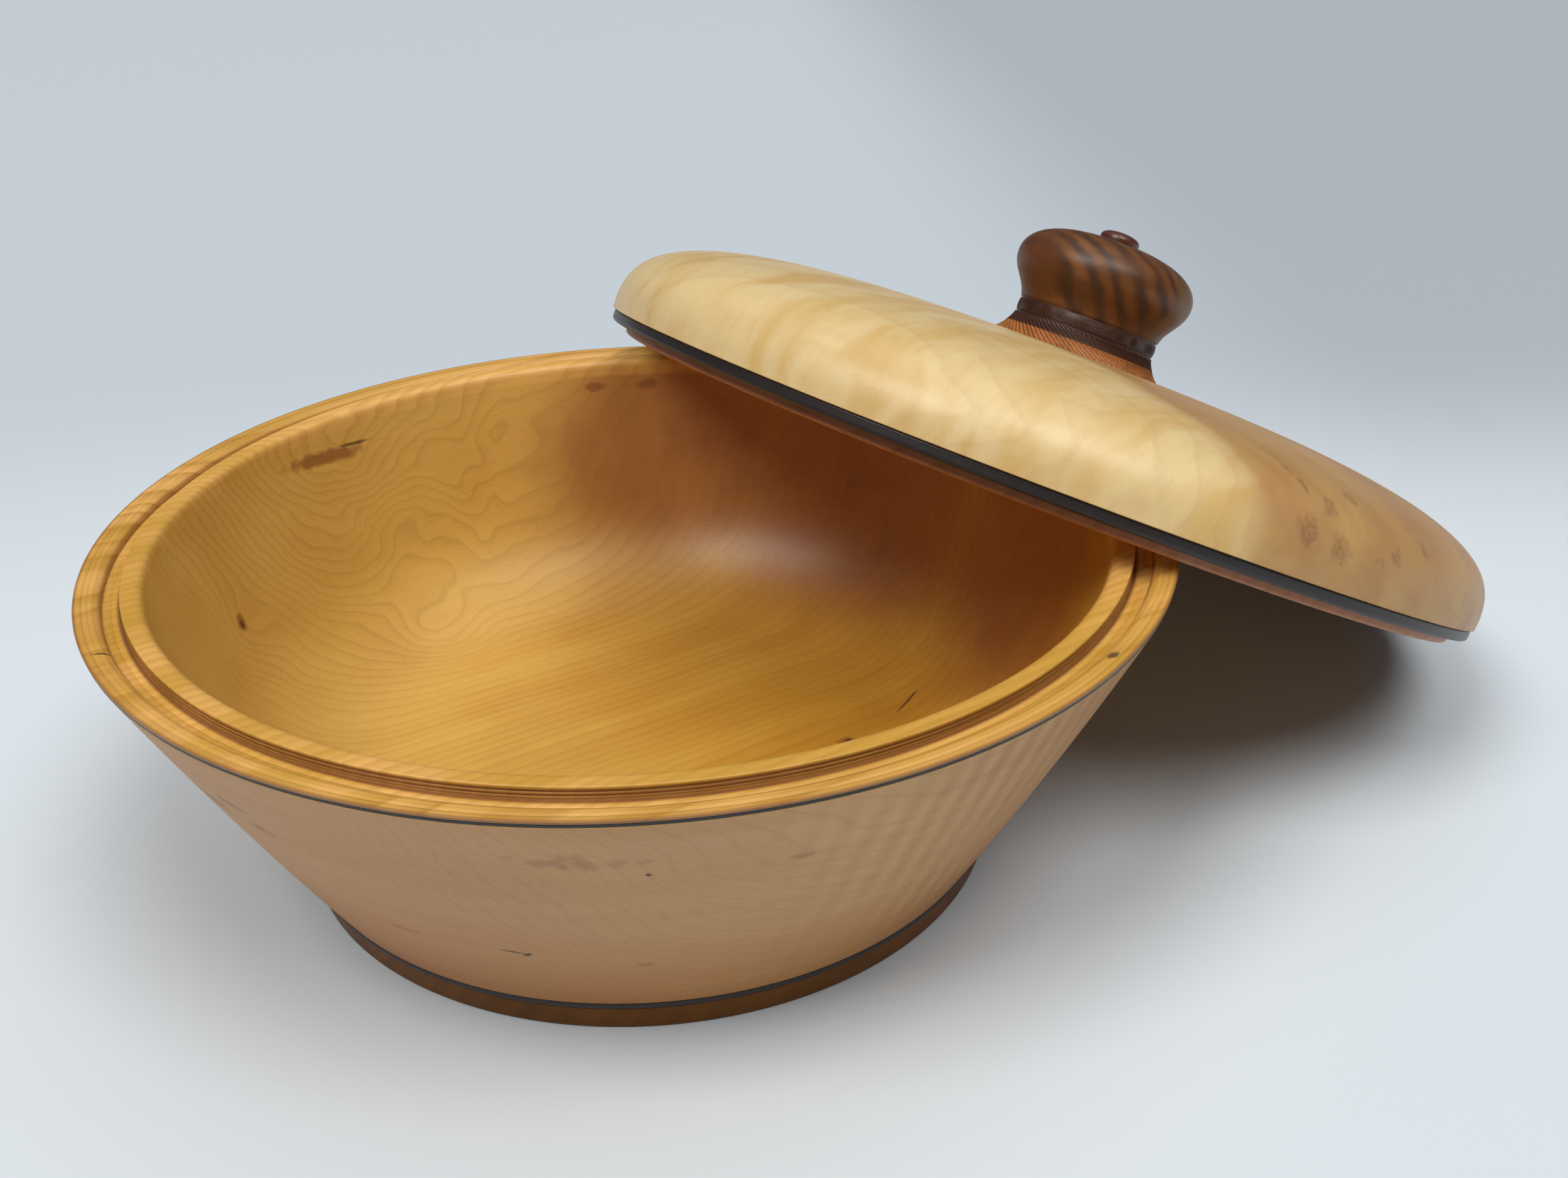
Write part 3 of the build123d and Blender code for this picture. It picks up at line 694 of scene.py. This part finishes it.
def lid_wood(colours, place):
    """Pale maple with bars of curl, turning to stained tan heartwood on the low side."""
    wood = Finish("lid maple", roughness=0.4, coat=0.18, coat_roughness=0.28)
    lid = wood.placed(place)
    board = wood.placed(place @ LID_GRAIN)
    grain = Grain(wood, board, 7.5, (60, -70), 24, 8)
    x, y, z = wood.parts(wood.drifted(lid, (0.02, 0.02, 0.02), (26, 26, 0), (4, 2, 7)))
    swayed = wood.drifted(board, (0.03, 0.03, 0.03), (22, 22, 22))
    curl = wood.noise(wood.stretched(swayed, (0.085, 0.016, 0.03)), 2.0)
    colour = wood.blend(curl.smooth(0.42, 0.68) * 0.75, tuple(colours.cream), tuple(colours.straw))
    silk = wood.noise(wood.stretched(board, (0.5, 0.10, 0.10)), 3.0)
    colour = wood.shaded(colour, silk.smooth(0.4, 0.7) * 0.22, (0.86, 0.76, 0.62, 1))
    colour = wood.blend(grain.late * 0.05 + grain.line * 0.07, colour, tuple(colours.tan))
    heart = (x + (y + 109) * 0.55).smooth(0, 12)
    edge = (x + (y + 109) * 0.55).between(-3, 8, 5)
    tan = wood.blend(grain.broad.smooth(0.3, 0.75) * 0.4, tuple(colours.tan), tuple(colours.straw))
    tan = wood.blend(grain.late * 0.15, tan, tuple(colours.spigot))
    colour = wood.blend(heart * 0.85, colour, tan)
    colour = wood.shaded(colour, edge * 0.10, (0.80, 0.70, 0.60, 1))
    stains = wood.marks(
        lid,
        (
            ((33, -123, 11), (3.6, 5, 8), (0.5, 0, 0)),
            ((42.5, -121, 9), (3.2, 4, 6), (0.5, 0, 0)),
            ((27, -107, 21.6), (2.4, 6, 3), (0, 0, 0.5)),
            ((38.6, -115, 16.4), (3.4, 4.5, 4), (0.4, 0, 0)),
            ((46.8, -106, 19.4), (3.2, 4.0, 4), (0.3, 0, 0)),
            ((31.4, -113.3, 18.7), (1.8, 4.5, 4), (0.3, 0, 0.4)),
            ((60.6, -111.5, 11.3), (2.4, 2.4, 3.4), (0, 0, 0)),
            ((71.2, -102.8, 13.6), (2.2, 2.2, 3.0), (0, 0, 0)),
            ((67.2, -102, 15.9), (1.6, 1.6, 2.2), (0, 0, 0)),
            ((60.4, -101.9, 18.2), (1.7, 1.7, 2.2), (0, 0, 0)),
            ((72.8, -86, 20.9), (1.9, 1.9, 2.4), (0, 0, 0)),
        ),
        0.75,
    )
    comb = wood.noise(wood.stretched(board, (0.35, 1.1, 1.1), (2, 2, 2)), 2.0).smooth(0.36, 0.56)
    stains = stains * (comb * 0.7 + 0.3)
    freckle = wood.noise(wood.stretched(lid, (0.20, 0.20, 0.16), (9, 1, 3)), 3.0).smooth(0.64, 0.74)
    colour = wood.blend(stains * 0.55, colour, tuple(colours.stain))
    colour = wood.blend(freckle * heart * x.smooth(15, 60) * 0.35, colour, tuple(colours.stain))
    colour = wood.shaded(colour, grain.fibre.smooth(0.45, 0.8) * 0.22, (0.84, 0.74, 0.62, 1))
    colour = wood.shaded(colour, grain.fleck * 0.25, (0.66, 0.52, 0.40, 1))
    height = grain.fibre * 0.4 + grain.fine * 0.2 - grain.fleck * 0.2
    return wood.finish(colour, 0.33 + grain.fibre * 0.16 + heart * 0.08, wood.bump(height, 0.00006, 0.8))


def spigot_wood(colours, place):
    wood = Finish("spigot wood", roughness=0.45, coat=0.05)
    board = wood.placed(place @ LID_GRAIN)
    grain = Grain(wood, board, 4.0, (60, -70), 14, 11)
    colour = wood.blend(grain.late * 0.3 + grain.cloud * 0.2, tuple(colours.spigot), tuple(colours.umber))
    colour = wood.shaded(colour, grain.fibre.smooth(0.4, 0.8) * 0.4, (0.75, 0.62, 0.52, 1))
    return wood.finish(colour, 0.38 + grain.fibre * 0.2, wood.bump(grain.fibre, 0.00006, 0.7))


def flare_wood(colours, name, light, dark, roughness, place):
    """Cut-textured wood: painted shade down in the spiral grooves, with the grain running through it."""
    sizes = bpy.context.scene.finial_sizes
    wood = Finish(name, roughness=roughness, coat=0.08)
    local = wood.placed(place)
    grain = Grain(wood, local, 3.0, (18, -40), 6, 13)
    flat = wood.length(wood.vector("MULTIPLY", local, (1, 1, 0)))
    x, y, z = wood.parts(local)
    turn = y.angle(x) + z * (sizes.ridge_twist * MM)
    # 1 down in the spiral grooves, where their painted shade goes.
    groove_shade = 0.5 - (turn * sizes.ridges).cosine() * 0.5
    dust = wood.noise(wood.stretched(local, (0.9, 0.9, 0.9)), 4.0)
    colour = wood.blend(grain.late * 0.4 + dust.smooth(0.4, 0.75) * 0.5, tuple(light), tuple(dark))
    colour = wood.shaded(colour, grain.fibre.smooth(0.4, 0.8) * 0.4, (0.70, 0.58, 0.50, 1))
    # Painted shade down in the grooves.
    colour = wood.shaded(colour, groove_shade.smooth(0.45, 1.0) * 0.85, (0.34, 0.24, 0.17, 1))
    ticks = (flat * 9.0).sine()
    height = grain.fibre * 0.5 + dust * 0.6 + ticks * 0.05
    return wood.finish(colour, roughness + dust * 0.2, wood.bump(height, 0.00008, 0.9))


def knob_wood(colours, place):
    """Figured walnut: soft slanting stripes of dark brown and gold under a rubbed polish."""
    wood = Finish("knob walnut", roughness=0.4, coat=0.12, coat_roughness=0.35, specular=0.4)
    local = wood.placed(place)
    x, y, z = wood.parts(wood.drifted(local, (0.08, 0.08, 0.08), (6, 6, 6)))
    grain = Grain(wood, local, 3.2, (14, -60), 8, 17)
    width = wood.noise(wood.stretched(local, (0.05, 0.05, 0.03)), 2.0)
    stripes = ((x * 0.80 + y * 0.25 + z * 0.58) * (math.tau / 5.6) + width * 7).sine()
    strength = wood.noise(wood.stretched(local, (0.06, 0.06, 0.10), (3, 8, 1)), 2.0).smooth(0.3, 0.6)
    golden = stripes.smooth(-1.1, 1.0) * (strength * 0.6 + 0.4)
    colour = wood.blend(golden, tuple(colours.walnut), tuple(colours.gold))
    mist = wood.noise(wood.stretched(local, (0.07, 0.07, 0.07)), 3.0)
    colour = wood.blend(mist.smooth(0.40, 0.66) * 0.75, colour, (0.125, 0.038, 0.009, 1))
    # Painted shade: darker towards the bottom of the knob, below its widest point.
    low = 1 - z.smooth(48, 62)
    colour = wood.shaded(colour, low * 0.5, (0.70, 0.58, 0.48, 1))
    # Lighter and more golden on the right shoulder: partly the knob's paler wood, partly a painted reflection
    # along its right edge.
    sapwood_and_reflection = (x + (mist - 0.5) * 16 - (z - 55).most(0) * 0.3).smooth(12, 24)
    colour = wood.blend(sapwood_and_reflection * 0.75, colour, (0.26, 0.145, 0.036, 1))
    colour = wood.shaded(colour, grain.fibre.smooth(0.45, 0.8) * 0.5, (0.62, 0.50, 0.42, 1))
    height = grain.fibre * 0.5 + grain.fine * 0.3
    return wood.finish(colour, 0.38 + grain.fibre * 0.14, wood.bump(height, 0.00005, 0.6))


def button_wood(colours, place):
    wood = Finish("button wood", roughness=0.3, coat=0.3, coat_roughness=0.2)
    local = wood.placed(place)
    grain = Grain(wood, local, 1.6, (6, -30), 3, 19)
    colour = wood.blend(grain.late * 0.6, tuple(colours.garnet), (0.05, 0.014, 0.008, 1))
    colour = wood.shaded(colour, grain.fibre.smooth(0.4, 0.8) * 0.5, (0.6, 0.5, 0.45, 1))
    return wood.finish(colour, 0.26 + grain.fibre * 0.14, wood.bump(grain.fibre, 0.00004, 0.6))


def dowel_wood(place):
    wood = Finish("dowel birch", roughness=0.55)
    local = wood.placed(place)
    streak = wood.noise(wood.stretched(local, (1.6, 1.6, 0.06)), 4.0)
    colour = wood.blend(streak.smooth(0.35, 0.7), (0.62, 0.42, 0.22, 1), (0.44, 0.27, 0.12, 1))
    return wood.finish(colour, 0.5 + streak * 0.15, wood.bump(streak, 0.00005, 0.6))


# ---- operators ----
class Make(bpy.types.Operator):
    """Shared by the operators that make pieces"""

    bl_options = {"REGISTER", "UNDO"}

    @property
    def bowl(self):
        return bpy.context.scene.bowl_sizes

    @property
    def lid(self):
        return bpy.context.scene.lid_sizes

    @property
    def finial(self):
        return bpy.context.scene.finial_sizes

    @property
    def colours(self):
        return bpy.context.scene.wood_colours


class MakeFoot(Make):
    """Turn the foot and the black band over it"""

    bl_idname = "turned_bowl.make_foot"
    bl_label = "Foot"

    def execute(self, context):
        s = self.bowl
        low, high = height_of("foot_disc")
        foot = reach_of("foot_disc")
        rest = foot - 0.0005 - s.foot_rest
        outline = [
            (0, s.foot_recess),
            (rest - s.foot_recess, s.foot_recess, 0.001),
            (rest, low, 0.0006),
            (foot - 0.0015, low, 0.0007),
            (foot - 0.0001, high, 0.0002),
            (0, high),
        ]
        fit(turned("foot", outline, s.turning_steps), "foot_disc", foot_wood(self.colours))
        low, high = height_of("foot_band")
        band = reach_of("foot_band")
        inset = 0.0007
        outline = [
            (0, low),
            (band - inset * 2, low, 0.0002),
            (band - inset, low + inset * 0.4, 0.0003),
            *swell((band - inset, low + inset * 0.4), (band - inset / 3, high), 0.0002, 6),
            (band - inset / 3, high, 0.0002),
            (0, high),
        ]
        line = black_line(self.colours, "foot line", 0.42, 0.05)
        fit(turned("foot_line", outline, s.turning_steps), "foot_band", line)
        return {"FINISHED"}


class MakeBowl(Make):
    """Turn the bowl's body with its channelled rim"""

    bl_idname = "turned_bowl.make_bowl"
    bl_label = "Bowl body"

    def execute(self, context):
        s = self.bowl
        base, lip_top = height_of("bowl_body")
        rim = reach_of("bowl_body")
        outer = reach_of("rim_ring")
        foot = reach_of("foot_band") - 0.0003
        line_base = height_of("rim_line")[0]
        channel_floor, land = height_of("rim_ring")
        lip = outer - s.land - s.cove - s.channel
        mouth = lip - s.lip_width
        floor = base + s.floor_thickness
        wall_top = (mouth, lip_top - 0.0016)
        root = (foot + s.inner_root, floor)
        fall = math.atan2(wall_top[0] - root[0], wall_top[1] - root[1])
        reach = s.sweep * math.tan((math.pi / 2 - fall) / 2)
        centre = (root[0] - reach, floor + s.sweep)
        turn = math.pi / 2 - fall
        steps = 18
        turns = [turn * (1 - k / steps) for k in range(steps + 1)]
        sweep = [(centre[0] + s.sweep * math.sin(t), centre[1] - s.sweep * math.cos(t)) for t in turns]
        groove = 0.00022
        outline = [
            (0, base),
            (foot, base, 0.0003),
            *swell((foot, base), (rim, line_base), s.wall_swell, 20),
            (rim, line_base, 0.0001),
            (rim - s.line_width, line_base),
            (rim - s.line_width, channel_floor),
            (lip + s.channel * 0.55, channel_floor),
            (lip + s.channel * 0.5, channel_floor - groove),
            (lip + s.channel * 0.45, channel_floor),
            (lip + groove, channel_floor),
            (lip, channel_floor + 0.0005, 0.0002),
            (lip, channel_floor + 0.0009),
            (lip - groove, channel_floor + 0.0011),
            (lip, channel_floor + 0.0013),
            (lip, channel_floor + 0.0018),
            (lip - groove, channel_floor + 0.0020),
            (lip, channel_floor + 0.0022),
            (lip, lip_top, 0.0005),
            (mouth, lip_top, 0.0018),
            *swell(wall_top, sweep[0], 0.0, 8),
            *sweep,
            *swell(sweep[-1], (0, floor), 0.0, 10),
            (0, floor),
        ]
        fit(turned("bowl", outline, s.turning_steps), "bowl_body", bowl_wood(s, self.colours))
        return {"FINISHED"}


class MakeRim(Make):
    """Turn the rim's black line and its outer ring"""

    bl_idname = "turned_bowl.make_rim"
    bl_label = "Rim"

    def execute(self, context):
        s = self.bowl
        rim = reach_of("bowl_body")
        seat = rim - s.line_width
        low, high = height_of("rim_line")
        bead = 0.00025
        outline = [(seat, low), (rim, low, bead), (rim, high, bead), (seat, high)]
        line = black_line(self.colours, "rim line", 0.34, 0.2)
        fit(turned("rim_line_inlay", outline, s.turning_steps), "rim_line", line)
        floor, land = height_of("rim_ring")
        outer = reach_of("rim_ring")
        cove_top, cove_low = (outer - s.land, land), (outer - s.land - s.cove, floor + 0.0003)
        outline = [
            (cove_low[0], floor),
            (seat, floor),
            (seat, high),
            (outer - 0.0001, high, 0.00015),
            (outer, land, 0.0004),
            (outer - s.land * 0.5, land),
            (outer - s.land * 0.5 - 0.0001, land - 0.0001),
            (outer - s.land * 0.5 - 0.0002, land),
            (cove_top[0], cove_top[1], 0.0003),
            *swell(cove_top, cove_low, 0.00045, 10),
            cove_low,
        ]
        fit(turned("rim_land", outline, s.turning_steps), "rim_ring", rim_wood(self.colours))
        return {"FINISHED"}


class MakeLid(Make):
    """Turn the lid's dome, hollow underneath"""

    bl_idname = "turned_bowl.make_lid"
    bl_label = "Lid"

    def execute(self, context):
        s = self.lid
        place = lid_place()
        inner = s.spigot_radius - s.spigot_wall
        outside = dome_points(s.radius, s.dome, s.fullness, s.crown, 48)
        inside = dome_points(inner, s.hollow, s.hollow_fullness, 0.004, 32)
        outline = [
            (0, s.hollow),
            *reversed(inside),
            (s.radius - 0.0008, 0),
            (s.radius - 0.0002, 0.0002),
            *outside[1:],
            (s.crown * 0.98, outside[-1][1]),
            (0, outside[-1][1]),
        ]
        piece = turned("lid", outline, self.bowl.turning_steps, place)
        fit(piece, "lid_dome", lid_wood(self.colours, place))
        return {"FINISHED"}


class MakeLidRings(Make):
    """Turn the black bead and the spigot under the lid"""

    bl_idname = "turned_bowl.make_lid_rings"
    bl_label = "Lid rings"

    def execute(self, context):
        s = self.lid
        place = lid_place()
        inner = s.spigot_radius - s.spigot_wall
        band = s.radius - s.band_inset
        outline = [
            (inner, 0),
            (inner, -s.band_height),
            (band, -s.band_height, s.band_round),
            (band, -0.0003, 0.0002),
            (band - 0.0004, 0),
        ]
        line = black_line(self.colours, "lid bead", 0.38, 0.15, place)
        fit(turned("lid_bead", outline, self.bowl.turning_steps, place), "lid_band", line)
        low = -s.band_height - s.spigot_height
        outline = [
            (inner, -s.band_height),
            (inner, low, 0.0004),
            (s.spigot_radius, low, 0.0009),
            (s.spigot_radius, -s.band_height),
        ]
        ring = turned("spigot", outline, self.bowl.turning_steps, place)
        fit(ring, "lid_spigot", spigot_wood(self.colours, place))
        return {"FINISHED"}


def crown_height(lid):
    """Height of the seat that the finial stands on."""
    return dome_height(lid.crown, lid.radius, lid.dome, lid.fullness)


class MakeFlare(Make):
    """Turn the two woods of the finial's flare and cut the spiral ridges"""

    bl_idname = "turned_bowl.make_flare"
    bl_label = "Finial flare"

    def heights(self):
        s, lid = self.finial, self.lid
        crown = crown_height(lid)
        return crown, crown + s.base, crown + s.base + s.collar

    def execute(self, context):
        s = self.finial
        place = lid_place()
        crown, joint, top = self.heights()
        turning = s.ridges * 8

        def spiral(co):
            out = math.hypot(co.x, co.y)
            if out < s.stem - 0.001:
                return co
            fade = min(1.0, (top - co.z) / 0.0008) if co.z > joint else 1.0
            angle = math.atan2(co.y, co.x) + co.z * s.ridge_twist
            cut = s.ridge_depth * max(fade, 0) * (0.5 - 0.5 * math.cos(s.ridges * angle)) ** 0.7
            return Vector((co.x * (1 - cut / out), co.y * (1 - cut / out), co.z))

        foot = self.lid.crown - s.groove
        outline = [
            (0, crown),
            (foot - 0.0002, crown),
            *swell((foot, crown), (s.flare, joint), -s.base / 12, 14),
            (s.flare, joint),
            (0, joint),
        ]
        base = flare_wood(self.colours, "flare pale", self.colours.ginger, self.colours.umber, 0.45, place)
        fit(turned("flare_pale", outline, turning, place, spiral), "finial_base", base)
        neck = s.stem - s.groove
        outline = [
            (0, joint),
            (s.flare, joint),
            *swell((s.flare, joint), (s.stem, top), -s.collar / 20, 12),
            (s.stem, top, 0.0001),
            (neck, top),
            (neck, top + s.groove),
            (0, top + s.groove),
        ]
        dark = flare_wood(self.colours, "flare dark", self.colours.cocoa, self.colours.walnut, 0.4, place)
        fit(turned("flare_dark", outline, turning, place, spiral), "finial_collar", dark)
        return {"FINISHED"}


class MakeRing(Make):
    """Turn the textured ring under the knob"""

    bl_idname = "turned_bowl.make_ring"
    bl_label = "Finial ring"

    def execute(self, context):
        s, lid = self.finial, self.lid
        place = lid_place()
        crown = crown_height(lid)
        low = crown + s.base + s.collar + s.groove
        high = low + s.ring
        edge = s.stem - s.groove / 2

        def chatter(co):
            out = math.hypot(co.x, co.y)
            if out < edge - 0.0006:
                return co
            angle = math.atan2(co.y, co.x)
            middle = 1 - (2 * (co.z - low) / s.ring - 1) ** 4
            depth = 0.6 + 0.4 * math.sin(angle * 17 + 2 * math.sin(angle * 5))
            wave = 0.5 + 0.5 * math.sin(s.ridges * 1.5 * (angle - co.z * s.ridge_twist * 1.3))
            cut = s.ridge_depth * 0.6 * depth * middle * wave
            return Vector((co.x * (1 - cut / out), co.y * (1 - cut / out), co.z))

        bead = swell((edge, low + 0.0001), (edge, high - 0.0001), s.groove / 2, 14)
        outline = [(0, low), (edge - 0.0002, low), (edge, low + 0.0001), *bead]
        outline += [(edge, high - 0.0001), (edge - 0.0002, high), (0, high)]
        dark = flare_wood(self.colours, "ring dark", self.colours.cocoa, self.colours.walnut, 0.33, place)
        fit(turned("finial_bead", outline, s.ridges * 9, place, chatter), "finial_ring", dark)
        return {"FINISHED"}


class MakeKnob(Make):
    """Turn the knob and the cap on it"""

    bl_idname = "turned_bowl.make_knob"
    bl_label = "Knob and cap"

    def execute(self, context):
        s, lid = self.finial, self.lid
        place = lid_place()
        crown = crown_height(lid)
        base = crown + s.base + s.collar + s.groove * 2 + s.ring
        top = base + s.knob - s.dip
        widest = (s.knob_radius, base + s.widest)
        waist = curve(
            (s.stem, base),
            (s.stem + 0.0006, base + s.knob * 0.20),
            (s.knob_radius, base + s.knob * 0.30),
            widest,
            20,
        )
        shoulder = curve(
            widest,
            (s.knob_radius, base + s.knob * 0.80),
            (s.knob_radius * 0.72, top - s.knob * 0.02),
            (s.button_radius, top),
            28,
        )
        outline = [
            (0, base - s.groove),
            (s.stem - s.groove, base - s.groove),
            (s.stem - s.groove, base),
            (s.stem - 0.0001, base + 0.0001),
            *waist,
            widest,
            *shoulder,
            (s.button_radius, top),
            (0, top),
        ]
        fit(turned("knob", outline, 160, place), "finial_knob", knob_wood(self.colours, place))
        side = top + s.button * 0.3
        dome = curve(
            (s.button_radius, side),
            (s.button_radius, top + s.button * 0.75),
            (s.button_radius * 0.6, top + s.button),
            (0, top + s.button),
            14,
        )
        outline = [(0, top - 0.001), (s.button_radius - 0.0006, top - 0.001), (s.button_radius - 0.0006, top)]
        outline += [(s.button_radius, top + 0.0002), (s.button_radius, side), *dome, (0, top + s.button)]
        fit(turned("cap", outline, 96, place), "finial_button", button_wood(self.colours, place))
        return {"FINISHED"}


class FinishDowel(Make):
    """Give the hidden dowel its wood"""

    bl_idname = "turned_bowl.finish_dowel"
    bl_label = "Dowel"

    def execute(self, context):
        node = frame["nodes"]["finial_spindle"]
        node.data.materials.clear()
        node.data.materials.append(dowel_wood(lid_place()).material)
        return {"FINISHED"}


def soft_sun(name, bearing, rise, spread, strength, colour):
    """An even studio light from far off: it stands at a bearing and a rise, both in degrees."""
    lamp = bpy.data.lights.new(name, "SUN")
    lamp.angle = math.radians(spread)
    lamp.energy = strength
    lamp.color = colour
    holder = bpy.data.objects.new(name, lamp)
    bpy.context.scene.collection.objects.link(holder)
    turn, up = math.radians(bearing), math.radians(rise)
    towards = Vector((math.cos(up) * math.cos(turn), math.cos(up) * math.sin(turn), math.sin(up)))
    holder.location = towards
    holder.rotation_euler = towards.to_track_quat("Z", "Y").to_euler()


class SetStage(Make):
    """Lay the floor, hang the lights and stand the camera"""

    bl_idname = "turned_bowl.set_stage"
    bl_label = "Stage"

    def lay_floor(self, s):
        bm = bmesh.new()
        bmesh.ops.create_grid(bm, x_segments=1, y_segments=1, size=s.floor / 2)
        mesh = bpy.data.meshes.new("floor")
        bm.to_mesh(mesh)
        bm.free()
        floor = bpy.data.objects.new("floor", mesh)
        bpy.context.scene.collection.objects.link(floor)
        cloth = Finish("white sweep", roughness=0.7)
        row = cloth.placed(scale=1.0)
        x, y, _ = cloth.parts(row)
        haze = cloth.noise(cloth.stretched(row, (1.5, 1.5, 1.5)), 2.0)
        # Painted shade: the floor turns darker and bluer further back.
        far = (y + (haze - 0.5) * 0.10).smooth(0.10, 0.36)
        colour = cloth.blend(far, (0.68, 0.74, 0.79, 1), (0.54, 0.60, 0.65, 1))
        # Painted shade towards the right and back of the floor.
        right_back_shade = x.smooth(0.14, 0.34) * y.smooth(0.05, 0.30)
        colour = cloth.shaded(colour, right_back_shade, (0.76, 0.74, 0.76, 1))
        weave = cloth.noise(cloth.stretched(row, (900, 900, 900)), 1.0)
        mesh.materials.append(cloth.finish(colour, 0.65 + weave * 0.1).material)

    def stand_camera(self, s):
        sin, cos = math.sin, math.cos
        level = cos(s.camera_dip)
        ahead = Vector((sin(s.camera_turn) * level, cos(s.camera_turn) * level, -sin(s.camera_dip)))
        right = ahead.cross(Vector((0, 0, 1))).normalized()
        up = right.cross(ahead)
        across = right * cos(s.camera_roll) + up * sin(s.camera_roll)
        above = up * cos(s.camera_roll) - right * sin(s.camera_roll)
        data = bpy.data.cameras.new("camera")
        data.sensor_width = 36.0
        data.lens = s.lens
        data.clip_start = 0.01
        camera = bpy.data.objects.new("camera", data)
        bpy.context.scene.collection.objects.link(camera)
        turn = Matrix((across, above, -ahead)).transposed().to_4x4()
        camera.matrix_world = Matrix.Translation((0, -s.camera_back, s.camera_up)) @ turn
        bpy.context.scene.camera = camera

    def hang_lights(self):
        soft_sun("left lamp", -142, 56, 26, 1.55, (1.0, 0.985, 0.95))
        soft_sun("right lamp", -58, 62, 32, 1.25, (1.0, 0.985, 0.95))
        soft_sun("overhead", 30, 78, 60, 0.7, (0.95, 0.98, 1.0))
        world = bpy.data.worlds.new("tent")
        world.use_nodes = True
        sky = world.node_tree.nodes["Background"]
        sky.inputs["Color"].default_value = (0.80, 0.87, 1.0, 1)
        sky.inputs["Strength"].default_value = 0.12
        bpy.context.scene.world = world

    def execute(self, context):
        s = bpy.context.scene.stage_sizes
        self.lay_floor(s)
        self.stand_camera(s)
        self.hang_lights()
        bpy.context.scene.view_settings.view_transform = "Standard"
        return {"FINISHED"}


OPERATORS = (
    MakeFoot,
    MakeBowl,
    MakeRim,
    MakeLid,
    MakeLidRings,
    MakeFlare,
    MakeRing,
    MakeKnob,
    FinishDowel,
    SetStage,
)
GROUPS = {
    "bowl_sizes": BowlSizes,
    "lid_sizes": LidSizes,
    "finial_sizes": FinialSizes,
    "wood_colours": WoodColours,
    "stage_sizes": StageSizes,
}


class BowlPanel(bpy.types.Panel):
    """Lists the sizes, the colours and the steps"""

    bl_idname = "VIEW3D_PT_turned_bowl"
    bl_label = "Turned bowl"
    bl_space_type = "VIEW_3D"
    bl_region_type = "UI"
    bl_category = "Turned bowl"

    def draw(self, context):
        for step in OPERATORS:
            self.layout.operator(step.bl_idname)
        for name, group in GROUPS.items():
            box = self.layout.box()
            for key in group.__annotations__:
                box.prop(getattr(context.scene, name), key)


def register():
    for name, group in GROUPS.items():
        bpy.utils.register_class(group)
        setattr(bpy.types.Scene, name, bpy.props.PointerProperty(type=group))
    for step in OPERATORS:
        bpy.utils.register_class(step)
    bpy.utils.register_class(BowlPanel)


def unregister():
    bpy.utils.unregister_class(BowlPanel)
    for step in reversed(OPERATORS):
        bpy.utils.unregister_class(step)
    for name, group in GROUPS.items():
        delattr(bpy.types.Scene, name)
        bpy.utils.unregister_class(group)


def main():
    register()
    for step in OPERATORS:
        prefix, name = step.bl_idname.split(".")
        getattr(getattr(bpy.ops, prefix), name)()


if __name__ == "__main__":
    main()
